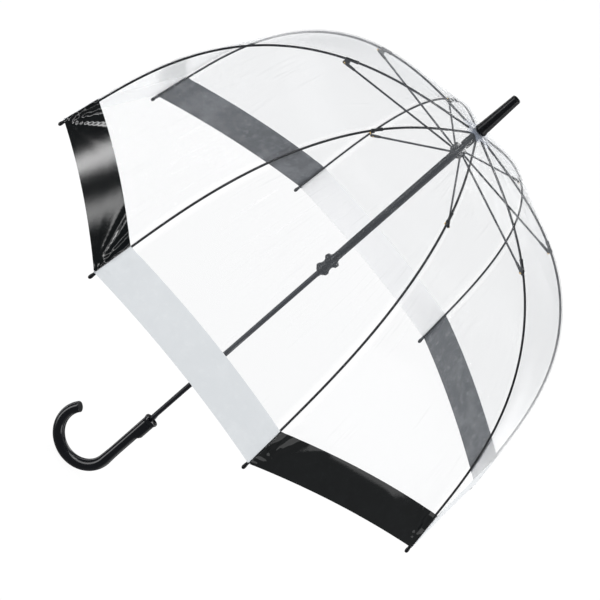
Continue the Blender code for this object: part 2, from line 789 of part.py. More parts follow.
def build_handle_collar():
    """The cupped ring on top of the handle, round the shaft."""
    bottom = COLLAR_TOP - COLLAR_LENGTH
    profile = [
        (COLLAR_RADIUS - 0.0006, COLLAR_TOP),
        (COLLAR_RADIUS, COLLAR_TOP - 0.0008),
        (COLLAR_RADIUS, COLLAR_TOP - 0.0030),
        (GRIP_RADIUS + 0.0003, bottom + 0.0022),
        (GRIP_RADIUS, bottom),
        (BORE_RADIUS, bottom),
        (BORE_RADIUS, COLLAR_TOP - COLLAR_CUP_DEPTH),
        (COLLAR_RADIUS - 0.0036, COLLAR_TOP - COLLAR_CUP_DEPTH),
        (COLLAR_RADIUS - 0.0018, COLLAR_TOP - 0.0006),
    ]
    return place("handle_collar", turned("handle_collar", profile, 28, closed=True), GLOSS_BLACK)


clear_scene()
PARTS = make_collection(NAME)
CUTTERS = make_collection(NAME + "_cutters")
STEEL = material("dark_steel", (0.045, 0.047, 0.055), 0.38, 0.8)
FIBREGLASS = material("black_fibreglass", (0.012, 0.012, 0.014), 0.42)
BLACK_PLASTIC = material("black_plastic", (0.012, 0.012, 0.014), 0.48)
GLOSS_BLACK = material("gloss_black_plastic", (0.008, 0.008, 0.012), 0.16)
CLEAR_FILM = material("clear_film", (0.92, 0.95, 0.97), 0.08, 0.0, 0.14)
PATCH_FILM = material("crown_film", (0.62, 0.68, 0.75), 0.25, 0.0, 0.6)
BLACK_FILM = material("black_film", (0.010, 0.010, 0.012), 0.30)
SILVER_FILM = material("silver_film", (0.72, 0.75, 0.78), 0.30)

build_shaft()
build_ferrule()
build_top_notch()
build_notch_wire()
build_crown_patch()
build_canopy()
build_ribs()
build_runner_head()
build_runner_sleeve()
build_runner_grip()
build_catch("upper_catch", upper_catch_height(), True)
build_catch("lower_catch", lower_catch_height(), False)
build_handle()
build_handle_collar()
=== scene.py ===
"""Looks of a stick umbrella: a deep clear dome with border bands, a long runner and a crook handle.

Everything is in metres in the frame of the fixed model. The shaft stands along +Z with the ferrule
up and the crook curls towards -X. Rib 1 stands at 22.5 degrees from +X, the others every 45 degrees
on from there, and gore n fills the space between ribs n and n + 1.
"""

import json
import logging
import math
from collections.abc import Callable, Sequence
from dataclasses import dataclass, field
from enum import Enum

import bpy
import numpy as np
from mathutils import Matrix, Vector


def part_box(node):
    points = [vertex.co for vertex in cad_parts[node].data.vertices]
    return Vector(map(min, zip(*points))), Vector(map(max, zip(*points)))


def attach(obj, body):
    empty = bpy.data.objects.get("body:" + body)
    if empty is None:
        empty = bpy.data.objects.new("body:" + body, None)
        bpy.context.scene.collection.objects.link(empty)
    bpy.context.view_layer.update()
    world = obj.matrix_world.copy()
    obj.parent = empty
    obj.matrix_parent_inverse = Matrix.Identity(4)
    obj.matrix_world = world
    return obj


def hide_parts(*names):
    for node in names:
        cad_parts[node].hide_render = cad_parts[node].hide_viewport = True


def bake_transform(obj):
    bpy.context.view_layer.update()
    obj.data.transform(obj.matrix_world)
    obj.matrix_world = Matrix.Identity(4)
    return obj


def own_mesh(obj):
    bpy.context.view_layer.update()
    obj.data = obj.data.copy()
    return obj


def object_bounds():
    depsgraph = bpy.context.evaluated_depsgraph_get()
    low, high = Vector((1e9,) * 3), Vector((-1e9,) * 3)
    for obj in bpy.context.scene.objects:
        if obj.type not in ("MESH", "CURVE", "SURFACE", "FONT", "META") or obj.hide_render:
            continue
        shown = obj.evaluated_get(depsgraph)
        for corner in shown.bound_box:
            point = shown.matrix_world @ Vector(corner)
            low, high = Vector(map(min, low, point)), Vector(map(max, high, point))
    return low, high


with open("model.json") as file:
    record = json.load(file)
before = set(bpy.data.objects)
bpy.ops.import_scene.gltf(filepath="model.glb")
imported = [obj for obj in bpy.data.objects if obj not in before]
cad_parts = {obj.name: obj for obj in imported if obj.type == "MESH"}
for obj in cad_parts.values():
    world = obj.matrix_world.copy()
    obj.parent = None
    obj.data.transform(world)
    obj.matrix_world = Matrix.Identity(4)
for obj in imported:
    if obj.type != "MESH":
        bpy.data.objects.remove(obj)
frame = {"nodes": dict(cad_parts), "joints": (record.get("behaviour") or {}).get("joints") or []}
cad_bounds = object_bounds()

logging.basicConfig(level=logging.INFO, format="%(name)s: %(message)s")
LOG = logging.getLogger("umbrella")

RIBS = 8
TURN = 2 * math.pi / RIBS
HALF_TURN = TURN / 2
FIRST_RIB = HALF_TURN


# ---------------------------------------------------------------- places in the frame
def joint_place(name: str) -> Vector:
    """Where a joint's pivot stands at rest.

    Args:
        name: The joint's name in the frame.

    Returns:
        The pivot as a point in the row frame.
    """
    found = next(joint for joint in frame["joints"] if joint["name"] == name)
    return Vector(found["pos_m"])


def reach(point: Vector) -> float:
    """How far a point stands from the shaft's axis."""
    return math.hypot(point.x, point.y)


def rib_angle(number: int) -> float:
    """The direction of rib number, in radians from +X."""
    return FIRST_RIB + (number - 1) * TURN


def gore_angle(number: int) -> float:
    """The direction of the middle of gore number, in radians from +X."""
    return rib_angle(number) + HALF_TURN


def outwards(angle: float) -> Vector:
    """The level unit vector at an angle from +X."""
    return Vector((math.cos(angle), math.sin(angle), 0.0))


# ---------------------------------------------------------------- shader tools
class Wire:
    """A shader socket that adds Math nodes where it is used in an expression."""

    def __init__(self, bench: "Bench", socket: bpy.types.NodeSocket) -> None:
        """Keep the socket and the bench that it belongs to."""
        self.bench = bench
        self.socket = socket

    def __add__(self, other: "Wire | float") -> "Wire":
        """Sum of two values."""
        return self.bench.math("ADD", self, other)

    __radd__ = __add__

    def __sub__(self, other: "Wire | float") -> "Wire":
        """This value less another."""
        return self.bench.math("SUBTRACT", self, other)

    def __rsub__(self, other: float) -> "Wire":
        """A number less this value."""
        return self.bench.math("SUBTRACT", other, self)

    def __mul__(self, other: "Wire | float") -> "Wire":
        """Product of two values."""
        return self.bench.math("MULTIPLY", self, other)

    __rmul__ = __mul__

    def __pow__(self, other: float) -> "Wire":
        """This value to a power."""
        return self.bench.math("POWER", self, other)

    def size(self) -> "Wire":
        """This value without its sign."""
        return self.bench.math("ABSOLUTE", self)

    def between(self, low: float, high: float) -> "Wire":
        """A smooth rise from 0 at low to 1 at high.

        Args:
            low: The value that gives 0.
            high: The value that gives 1. It may be the smaller of the two.

        Returns:
            The eased value, held to 0 and 1 outside.
        """
        if low < high:
            return self._eased(low, high)
        return 1.0 - self._eased(high, low)

    def _eased(self, low: float, high: float) -> "Wire":
        """The smooth rise with low below high."""
        return self.bench.add(
            "ShaderNodeMapRange",
            {"interpolation_type": "SMOOTHSTEP"},
            {"Value": self, "From Min": low, "From Max": high},
        )


Value = Wire | float | tuple[float, ...]


class Bench:
    """One material's node tree, round its Principled shader."""

    def __init__(self, name: str) -> None:
        """Make the material with an empty Principled shader."""
        self.material = bpy.data.materials.new(name)
        self.material.use_nodes = True
        self.tree = self.material.node_tree
        self.shader = self.tree.nodes["Principled BSDF"]

    @classmethod
    def of_world(cls, world: bpy.types.World) -> "Bench":
        """A bench on a world's node tree, round its background."""
        bench = cls.__new__(cls)
        world.use_nodes = True
        bench.tree = world.node_tree
        bench.shader = world.node_tree.nodes["Background"]
        return bench

    def feed(self, socket: bpy.types.NodeSocket, value: Value) -> None:
        """Link a wire to a socket, or set a plain value on it."""
        if isinstance(value, Wire):
            self.tree.links.new(value.socket, socket)
        elif isinstance(value, tuple) and len(value) == 3 and socket.type == "RGBA":
            socket.default_value = (*value, 1.0)
        else:
            socket.default_value = value

    def add(
        self,
        kind: str,
        settings: dict[str, object] | None = None,
        inputs: dict[str | int, Value] | None = None,
        output: int | str = 0,
    ) -> Wire:
        """Add any node.

        Args:
            kind: The node's type.
            settings: The node's own settings, set before its sockets.
            inputs: Values or wires by socket name or number.
            output: The output to return.

        Returns:
            The chosen output as a wire.
        """
        node = self.tree.nodes.new(kind)
        for name, value in (settings or {}).items():
            setattr(node, name, value)
        for name, value in (inputs or {}).items():
            self.feed(node.inputs[name], value)
        return Wire(self, node.outputs[output])

    def math(self, operation: str, *values: Wire | float) -> Wire:
        """Add a Math node with its values in order."""
        return self.add("ShaderNodeMath", {"operation": operation}, dict(enumerate(values)))

    def place(self) -> Wire:
        """The point on the piece in the row frame."""
        return self.add("ShaderNodeTexCoord", output="Object")

    def split(self, vector: Wire) -> tuple[Wire, Wire, Wire]:
        """The three parts of a vector."""
        parts = [
            self.add("ShaderNodeSeparateXYZ", inputs={"Vector": vector}, output=axis)
            for axis in ("X", "Y", "Z")
        ]
        return parts[0], parts[1], parts[2]

    def stretched(self, vector: Wire, scale: tuple[float, float, float]) -> Wire:
        """A vector scaled along each axis."""
        return self.add(
            "ShaderNodeVectorMath", {"operation": "MULTIPLY"}, {0: vector, 1: scale}
        )

    def noise(self, vector: Wire, scale: float, detail: float = 3.0, rough: float = 0.5) -> Wire:
        """Soft random variation from 0 to 1.

        Args:
            vector: Where it is read.
            scale: How fine it is, in cycles per unit.
            detail: How many finer layers it has.
            rough: How strong the finer layers are.

        Returns:
            The noise as a value.
        """
        return self.add(
            "ShaderNodeTexNoise",
            {"noise_dimensions": "3D"},
            {"Vector": vector, "Scale": scale, "Detail": detail, "Roughness": rough},
        )

    def mix(self, share: Value, first: Value, second: Value) -> Wire:
        """Mix two colours."""
        return self.add(
            "ShaderNodeMix",
            {"data_type": "RGBA"},
            {"Factor": share, 6: first, 7: second},
            output=2,
        )

    def grazing(self) -> Wire:
        """How much more a face mirrors when it is seen edge on, the same from both sides."""
        facing = self.add("ShaderNodeLayerWeight", inputs={"Blend": 0.5}, output="Facing")
        return facing ** 5.0

    def bump(self, height: Wire, strength: float, distance: float) -> None:
        """Feed a height in metres-like units to the shader's normal."""
        wire = self.add(
            "ShaderNodeBump",
            inputs={"Height": height, "Strength": strength, "Distance": distance},
        )
        self.feed(self.shader.inputs["Normal"], wire)

    def set(self, **values: Value) -> None:
        """Set or link the shader's sockets, named with _ for a space."""
        for name, value in values.items():
            self.feed(self.shader.inputs[name.replace("_", " ")], value)


# ---------------------------------------------------------------- finishes
Colour = tuple[float, float, float]


@dataclass(frozen=True)
class Finish:
    """A finish of the object. Each kind paints its own shader."""

    name: str

    def make(self) -> bpy.types.Material:
        """Make the material."""
        bench = Bench(self.name)
        self.paint(bench, bench.place())
        return bench.material

    def paint(self, bench: Bench, place: Wire) -> None:
        """Set the shader's sockets.

        Args:
            bench: The material's node tree.
            place: The point on the piece.
        """
        raise NotImplementedError


@dataclass(frozen=True)
class Moulding(Finish):
    """Moulded black plastic with a fine grain, faint flow marks and worn high spots."""

    name: str = "satin_black_moulding"
    colour: Colour = (0.0022, 0.0026, 0.0034)
    worn: Colour = (0.010, 0.011, 0.013)
    roughness: float = 0.22
    grain: float = 2600.0
    specular: float = 0.14

    def paint(self, bench: Bench, place: Wire) -> None:
        """Set the shader's sockets."""
        cloud = bench.noise(place, 90.0, 4.0)
        grain = bench.noise(place, self.grain, 2.0)
        rubbed = bench.noise(place, 420.0, 5.0, 0.62).between(0.56, 0.74)
        bench.set(
            Base_Color=bench.mix(rubbed * 0.35 + cloud * 0.25, self.colour, self.worn),
            Roughness=self.roughness + (cloud - 0.5) * 0.14 + rubbed * 0.08,
            Specular_IOR_Level=self.specular,
        )
        bench.bump(grain * 0.7 + cloud * 0.3, 0.16, 0.0002)


@dataclass(frozen=True)
class GlossMoulding(Finish):
    """Polished black plastic under a clear coat, with hairlines and a little dust."""

    name: str = "gloss_black_handle"
    colour: Colour = (0.0016, 0.0020, 0.0034)
    dust: Colour = (0.020, 0.022, 0.030)
    roughness: float = 0.15
    specular: float = 0.22
    coat: float = 0.06
    coat_roughness: float = 0.05

    def paint(self, bench: Bench, place: Wire) -> None:
        """Set the shader's sockets."""
        cloud = bench.noise(place, 38.0, 3.0)
        hairs = bench.noise(bench.stretched(place, (420.0, 420.0, 38.0)), 6.0, 4.0, 0.6)
        dust = bench.noise(place, 1900.0, 2.0).between(0.66, 0.80)
        bench.set(
            Base_Color=bench.mix(dust * 0.5 + cloud * 0.10, self.colour, self.dust),
            Roughness=self.roughness + (cloud - 0.5) * 0.10 + hairs.between(0.55, 0.8) * 0.06,
            Specular_IOR_Level=self.specular,
            Coat_Weight=self.coat,
            Coat_Roughness=self.coat_roughness,
        )
        bench.bump(hairs * 0.4 + cloud * 0.6, 0.05, 0.0004)


@dataclass(frozen=True)
class DarkSteel(Finish):
    """Drawn steel under thin dark paint, with lines along the draw and bright rubbed patches."""

    name: str = "painted_steel"
    colour: Colour = (0.010, 0.011, 0.014)
    bare: Colour = (0.075, 0.080, 0.090)
    roughness: float = 0.30
    metallic: float = 0.45
    lines: tuple[float, float, float] = (2400.0, 2400.0, 26.0)

    def paint(self, bench: Bench, place: Wire) -> None:
        """Set the shader's sockets."""
        drawn = bench.noise(bench.stretched(place, self.lines), 1.0, 3.0, 0.6)
        cloud = bench.noise(place, 55.0, 4.0)
        rubbed = (drawn * 0.6 + cloud * 0.4).between(0.56, 0.70)
        bench.set(
            Base_Color=bench.mix(rubbed * 0.4, self.colour, self.bare),
            Roughness=self.roughness + (drawn - 0.5) * 0.20,
            Metallic=self.metallic,
            Specular_IOR_Level=0.2,
        )
        bench.bump(drawn, 0.12, 0.0002)


@dataclass(frozen=True)
class Fibreglass(Finish):
    """Black drawn fibreglass rod, with fine fibres along it."""

    name: str = "black_fibreglass_rod"
    colour: Colour = (0.0030, 0.0034, 0.0048)
    fibre: Colour = (0.014, 0.015, 0.019)
    roughness: float = 0.36

    def paint(self, bench: Bench, place: Wire) -> None:
        """Set the shader's sockets."""
        along, around, _ = bench.split(bench.add("ShaderNodeUVMap", {"uv_map": "UVMap"}))
        combined = bench.add(
            "ShaderNodeCombineXYZ", inputs={"X": along * 6.0, "Y": around * 90.0}
        )
        fibre = bench.noise(combined, 2.0, 4.0, 0.65)
        bench.set(
            Base_Color=bench.mix(fibre.between(0.5, 0.8), self.colour, self.fibre),
            Roughness=self.roughness + (fibre - 0.5) * 0.25,
            Specular_IOR_Level=0.15,
        )
        bench.bump(fibre, 0.15, 0.0001)


@dataclass(frozen=True)
class BrightMetal(Finish):
    """Plain metal with turned or drawn lines: brass rivets and zinc wire."""

    colour: Colour
    tarnish: Colour
    roughness: float = 0.28

    def paint(self, bench: Bench, place: Wire) -> None:
        """Set the shader's sockets."""
        spots = bench.noise(place, 1200.0, 4.0, 0.6)
        bench.set(
            Base_Color=bench.mix(spots.between(0.42, 0.72), self.colour, self.tarnish),
            Roughness=self.roughness + (spots - 0.5) * 0.3,
            Metallic=1.0,
        )
        bench.bump(bench.noise(place, 3200.0, 2.0), 0.1, 0.0001)


@dataclass(frozen=True)
class ClearFilm(Finish):
    """Clear vinyl film with a faint milky haze, pulled streaks along the gore, painted white
    reflection streaks, painted grey shade patches and frosted welds.

    The map's U runs across the gore and its V along the ridge.
    """

    name: str = "clear_vinyl"
    haze: float = 0.068
    streak: float = 0.085
    mirror: float = 0.30
    weld: float = 0.015
    colour: Colour = (0.34, 0.365, 0.40)
    painted_reflection: Colour = (0.98, 0.985, 1.0)
    shadow: Colour = (0.24, 0.27, 0.32)
    roughness: float = 0.11

    def paint(self, bench: Bench, place: Wire) -> None:
        """Set the shader's sockets."""
        uv = bench.add("ShaderNodeUVMap", {"uv_map": "UVMap"})
        across, _, _ = bench.split(uv)
        pulled = bench.noise(bench.stretched(uv, (34.0, 3.2, 1.0)), 1.6, 5.0, 0.62)
        patch = bench.noise(place, 7.0, 2.0).between(0.40, 0.68)
        # Painted reflection: white streaks in the tint, with denser alpha along the pulled streaks,
        # stand in for soft highlights on the film.
        painted_reflection = pulled.between(0.52, 0.78) * patch
        # Painted shade: random grey patches of the shadow colour on the film.
        shade = bench.noise(bench.stretched(uv, (22.0, 2.2, 1.0)), 1.1, 4.0, 0.6)
        shade = shade.between(0.56, 0.80) * bench.noise(place, 11.0, 2.0).between(0.45, 0.7)
        edge = (across * 2.0 - 1.0).size().between(0.965, 0.995)
        milk = self.haze + (painted_reflection + shade * 0.55) * self.streak
        clear = 1.0 - (across * 2.0 - 1.0).size().between(0.90, 0.97) * 0.85
        mirror = bench.grazing() * self.mirror
        tint = bench.mix(painted_reflection, bench.mix(shade, self.colour, self.shadow), self.painted_reflection)
        bench.set(
            Base_Color=tint,
            Alpha=milk * clear + edge * self.weld + mirror,
            Roughness=self.roughness + pulled * 0.10,
            Specular_IOR_Level=0.5,
        )
        bench.bump(pulled * 0.6 + bench.noise(place, 160.0, 3.0) * 0.4, 0.10, 0.001)
        bench.material.surface_render_method = "BLENDED"


@dataclass(frozen=True)
class FrostedFilm(Finish):
    """Thicker milky film: the crown's star and the welded seams."""

    colour: Colour
    density: float
    pleat: float = 0.25
    roughness: float = 0.24

    def paint(self, bench: Bench, place: Wire) -> None:
        """Set the shader's sockets."""
        cloud = bench.noise(place, 120.0, 4.0, 0.6)
        ribbed = bench.noise(bench.stretched(place, (1.0, 1.0, 0.3)), 900.0, 2.0)
        dark = tuple(part * 0.62 for part in self.colour)
        bench.set(
            Base_Color=bench.mix(cloud.between(0.42, 0.70), self.colour, dark),
            Alpha=self.density + (cloud - 0.5) * self.pleat + bench.grazing() * 0.2,
            Roughness=self.roughness + (cloud - 0.5) * 0.15,
        )
        bench.bump(ribbed * 0.5 + cloud * 0.5, 0.25, 0.0005)
        bench.material.surface_render_method = "BLENDED"


@dataclass(frozen=True)
class BandVinyl(Finish):
    """Opaque coloured vinyl of the border bands, with a fine grain and soft handling marks."""

    colour: Colour
    mottle: Colour
    roughness: float
    specular: float
    grain: float = 0.12
    patchiness: float = 0.16

    def paint(self, bench: Bench, place: Wire) -> None:
        """Set the shader's sockets."""
        cloud = bench.noise(place, 26.0, 5.0, 0.6)
        fine = bench.noise(place, 700.0, 3.0, 0.6)
        rubbed = bench.noise(place, 90.0, 6.0, 0.66).between(0.50, 0.72)
        bench.set(
            Base_Color=bench.mix(
                rubbed * 0.55 + cloud.between(0.4, 0.7) * 0.45, self.colour, self.mottle
            ),
            Roughness=self.roughness + (cloud - 0.5 + rubbed * 0.4) * self.patchiness,
            Specular_IOR_Level=self.specular,
        )
        bench.bump(fine * 0.35 + cloud * 0.65, self.grain, 0.0008)


@dataclass(frozen=True)
class FloorPaint(Finish):
    """Plain pale matt floor that is nearly white."""

    name: str = "pale_floor"
    colour: Colour = (0.08, 0.0805, 0.081)
    glow: float = 0.93

    def paint(self, bench: Bench, place: Wire) -> None:
        """Set the shader's sockets."""
        cloud = bench.noise(place, 1.4, 3.0)
        bench.set(
            Base_Color=bench.mix(cloud, self.colour, tuple(part * 0.985 for part in self.colour)),
            Roughness=0.85,
            Specular_IOR_Level=0.1,
            Emission_Color=(1.0, 1.0, 1.0),
            Emission_Strength=self.glow,
        )


class Palette:
    """Every finish of the object, made once."""

    def __init__(self) -> None:
        """Make the materials."""
        self.moulding = Moulding().make()
        self.handle = GlossMoulding().make()
        self.steel = DarkSteel().make()
        self.rod = Fibreglass().make()
        self.brass = BrightMetal("brass_rivet", (0.62, 0.43, 0.16), (0.34, 0.22, 0.09)).make()
        self.zinc = BrightMetal("zinc_wire", (0.52, 0.54, 0.57), (0.30, 0.31, 0.33)).make()
        self.film = ClearFilm().make()
        self.seam = FrostedFilm("welded_seam", (0.16, 0.17, 0.19), 0.020, 0.02, 0.18).make()
        self.star = FrostedFilm("crown_star_film", (0.36, 0.40, 0.48), 0.40, 0.45).make()
        self.black = BandVinyl(
            "black_band_vinyl", (0.0010, 0.0018, 0.0022), (0.0040, 0.0052, 0.0060), 0.028, 0.10,
            0.012, 0.008,
        ).make()
        # Lighter copies of the band vinyl for the inward faces: painted reflection and haze in the
        # colour, standing for the bright surroundings seen on the far bands.
        self.black_inside_painted_reflection = BandVinyl(
            "black_band_inside_painted_reflection", (0.072, 0.077, 0.085), (0.205, 0.215, 0.232), 0.42, 0.30
        ).make()
        self.silver = BandVinyl(
            "silver_band_vinyl", (0.635, 0.660, 0.682), (0.680, 0.704, 0.724), 0.34, 0.25
        ).make()
        self.silver_inside_painted_reflection = BandVinyl(
            "silver_band_inside_painted_reflection", (0.955, 0.96, 0.97), (0.98, 0.985, 0.99), 0.42, 0.25
        ).make()


class Band(Enum):
    """The two colours of the border, one gore after the other."""

    BLACK = "black_film"
    SILVER = "silver_film"

    @classmethod
    def of(cls, number: int) -> "Band":
        """The colour of a gore's band."""
        return cls.BLACK if number % 2 else cls.SILVER

    def finishes(self, palette: Palette) -> tuple[bpy.types.Material, bpy.types.Material]:
        """The band's outer material and its lighter inner copy, which carries painted reflection
        and haze.
        """
        if self is Band.BLACK:
            return palette.black, palette.black_inside_painted_reflection
        return palette.silver, palette.silver_inside_painted_reflection


# ---------------------------------------------------------------- modelling tools
@dataclass(frozen=True)
class Station:
    """One ring of a swept piece, in the XZ plane: its centre, its radius and its direction.

    The direction turn is measured from straight down towards +X.
    """

    x: float
    z: float
    radius: float
    turn: float = 0.0


class Hands:
    """Modelling steps on one mesh at a time, as done by hand in edit mode."""

    @staticmethod
    def clear() -> None:
        """Leave edit mode and select nothing."""
        if bpy.context.object and bpy.context.object.mode != "OBJECT":
            bpy.ops.object.mode_set(mode="OBJECT")
        bpy.ops.object.select_all(action="DESELECT")

    @staticmethod
    def start(name: str) -> bpy.types.Object:
        """Name the primitive that was just added, and go into edit mode with all of it selected."""
        piece = bpy.context.object
        piece.name = name
        piece.data.name = name
        bpy.ops.object.mode_set(mode="EDIT")
        bpy.ops.mesh.select_mode(type="VERT")
        bpy.ops.mesh.select_all(action="SELECT")
        return piece

    @staticmethod
    def finish(piece: bpy.types.Object, angle: float = 40.0, outward: bool = True) -> None:
        """Merge doubles, face outwards, go back to object mode, apply the place and shade smooth.

        Args:
            piece: The object in edit mode.
            angle: Edges sharper than this many degrees stay sharp.
            outward: Whether the normals are made to face out.
        """
        bpy.ops.mesh.select_all(action="SELECT")
        bpy.ops.mesh.remove_doubles(threshold=1e-6)
        if outward:
            bpy.ops.mesh.normals_make_consistent(inside=False)
        bpy.ops.object.mode_set(mode="OBJECT")
        bpy.ops.object.transform_apply(location=True, rotation=True, scale=True)
        bpy.ops.object.shade_smooth_by_angle(angle=math.radians(angle))

    @staticmethod
    def choose(piece: bpy.types.Object, test: Callable[[bpy.types.MeshPolygon], bool]) -> None:
        """Select the faces that pass a test, in edit mode.

        Args:
            piece: The object in edit mode.
            test: Says whether a face is wanted.
        """
        bpy.ops.mesh.select_all(action="DESELECT")
        bpy.ops.mesh.select_mode(type="FACE")
        bpy.ops.object.mode_set(mode="OBJECT")
        for face in piece.data.polygons:
            face.select = bool(test(face))
        bpy.ops.object.mode_set(mode="EDIT")

    @staticmethod
    def modify(piece: bpy.types.Object, kind: str, **settings: object) -> None:
        """Add a modifier and apply it.

        Args:
            piece: The object that is changed.
            kind: The modifier's type.
            settings: The modifier's settings.
        """
        Hands.clear()
        bpy.context.view_layer.objects.active = piece
        piece.select_set(True)
        change = piece.modifiers.new(kind.title(), kind)
        for name, value in settings.items():
            setattr(change, name, value)
        bpy.ops.object.modifier_apply(modifier=change.name)

    @staticmethod
    def combine(
        piece: bpy.types.Object, others: Sequence[bpy.types.Object], operation: str
    ) -> None:
        """Join others to the piece or cut them from it, and remove them."""
        for other in others:
            Hands.modify(piece, "BOOLEAN", object=other, operation=operation, solver="EXACT")
            bpy.data.objects.remove(other, do_unlink=True)
        bpy.ops.object.shade_smooth_by_angle(angle=math.radians(40.0))

    @staticmethod
    def sweep(
        name: str, stations: Sequence[Station], sides: int, capped: bool = True, angle: float = 40.0
    ) -> bpy.types.Object:
        """A round piece that follows stations in the XZ plane, extruded ring by ring.

        Args:
            name: The piece's name.
            stations: The rings in order.
            sides: Corners of each ring.
            capped: Whether the two ends are filled.
            angle: Edges sharper than this many degrees stay sharp.

        Returns:
            The piece, in place.
        """
        Hands.clear()
        first = stations[0]
        bpy.ops.mesh.primitive_circle_add(
            vertices=sides, radius=first.radius, location=(first.x, 0, first.z),
            rotation=(0, math.pi - first.turn, 0),
        )
        piece = Hands.start(name)
        for a, b in zip(stations, stations[1:]):
            centre = (b.x, 0, b.z)
            bpy.ops.mesh.extrude_region_move(
                TRANSFORM_OT_translate={"value": (b.x - a.x, 0, b.z - a.z)}
            )
            if abs(b.turn - a.turn) > 1e-9:
                bpy.ops.transform.rotate(
                    value=b.turn - a.turn, orient_axis="Y", center_override=centre
                )
            size = b.radius / a.radius
            bpy.ops.transform.resize(value=(size, size, size), center_override=centre)
        if capped:
            bpy.ops.mesh.select_all(action="SELECT")
            bpy.ops.mesh.fill_holes(sides=0)
        Hands.finish(piece, angle)
        return piece

    @staticmethod
    def turned(
        name: str, profile: Sequence[tuple[float, float]], sides: int, tube: bool = True
    ) -> bpy.types.Object:
        """A turned piece from (radius, height) points.

        Args:
            name: The piece's name.
            profile: The outline, down the outer side and, for a tube, back up the bore.
            sides: Corners round the axis.
            tube: Whether the outline closes on itself. A solid has its two ends filled.

        Returns:
            The piece, in place.
        """
        points = [*profile, profile[0]] if tube else list(profile)
        stations = [Station(0.0, height, radius) for radius, height in points]
        return Hands.sweep(name, stations, sides, capped=not tube)

    @staticmethod
    def block(
        name: str, place: Sequence[float], size: Sequence[float], bevel: float = 0.0
    ) -> bpy.types.Object:
        """A box.

        Args:
            name: The piece's name.
            place: Its middle.
            size: Its three sizes.
            bevel: How far its edges are rounded.

        Returns:
            The box, in place.
        """
        Hands.clear()
        bpy.ops.mesh.primitive_cube_add(size=1.0, location=place)
        piece = Hands.start(name)
        bpy.ops.transform.resize(value=size)
        if bevel:
            bpy.ops.mesh.bevel(offset=bevel, segments=3, affect="EDGES")
        Hands.finish(piece)
        return piece

    @staticmethod
    def hoop(
        name: str, place: Sequence[float], radius: float, thick: float, sides: tuple[int, int],
        turn: float = math.pi, squeeze: float = 1.0,
    ) -> bpy.types.Object:
        """A ring of round wire.

        Args:
            name: The piece's name.
            place: Its middle.
            radius: From its middle to the middle of the wire.
            thick: The wire's radius.
            sides: Corners round the ring and round the wire.
            turn: The way it faces, from straight down towards +X.
            squeeze: Its width along Y, against the full ring.

        Returns:
            The ring, in place.
        """
        Hands.clear()
        bpy.ops.mesh.primitive_torus_add(
            major_radius=radius, minor_radius=thick, major_segments=sides[0],
            minor_segments=sides[1], location=place, rotation=(0, math.pi - turn, 0),
        )
        piece = Hands.start(name)
        if squeeze != 1.0:
            bpy.ops.transform.resize(value=(1.0, squeeze, 1.0), center_override=place)
        Hands.finish(piece)
        return piece

    @staticmethod
    def copy(piece: bpy.types.Object, name: str, angle: float) -> bpy.types.Object:
        """A copy with its own mesh, turned about the shaft."""
        mesh = piece.data.copy()
        mesh.name = name
        mesh.transform(Matrix.Rotation(angle, 4, "Z"))
        twin = bpy.data.objects.new(name, mesh)
        bpy.context.scene.collection.objects.link(twin)
        return twin

    @staticmethod
    def dress(piece: bpy.types.Object, finish: bpy.types.Material, slot: str) -> None:
        """Give a piece its only material."""
        piece.data.materials.clear()
        piece.data.materials.append(finish)

    @staticmethod
    def discard(*pieces: bpy.types.Object) -> None:
        """Remove patterns that only served for copies."""
        for piece in pieces:
            bpy.data.objects.remove(piece, do_unlink=True)


def near(radius: float, height: float, *steps: tuple[float, float]) -> list[tuple[float, float]]:
    """Points of an outline round one corner.

    Args:
        radius: The corner's distance from the axis.
        height: The corner's height.
        steps: Each point's way out and up from the corner, in millimetres.

    Returns:
        The points as radius and height.
    """
    return [(radius + out / 1000, height + up / 1000) for out, up in steps]


def report(piece: bpy.types.Object) -> bpy.types.Object:
    """Log a finished piece with its triangles."""
    count = sum(len(face.vertices) - 2 for face in piece.data.polygons)
    LOG.info("%s: %d triangles", piece.name, count)
    return piece


def settle(
    piece: bpy.types.Object, finish: bpy.types.Material, slot: str, body: str, *nodes: str
) -> bpy.types.Object:
    """Dress a rigid piece, let it ride its body in place of its plain nodes, and report it.

    Args:
        piece: The finished mesh.
        finish: Its material.
        slot: The record's slot that it belongs to.
        body: The body that it rides.
        nodes: The plain nodes that it stands in for.

    Returns:
        The piece.
    """
    Hands.dress(piece, finish, slot)
    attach(piece, body)
    if nodes:
        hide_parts(*nodes)
    return report(piece)


def paint_length(piece: bpy.types.Object, sides: int) -> None:
    """Give a swept rod a map: U along it and V round it.

    Args:
        piece: The rod, whose vertices are in rings of equal size.
        sides: Corners of each ring.
    """
    layer = piece.data.uv_layers.new(name="UVMap")
    for loop in piece.data.loops:
        ring, corner = divmod(loop.vertex_index, sides)
        layer.data[loop.index].uv = (ring * 0.01, abs(2 * corner / sides - 1))


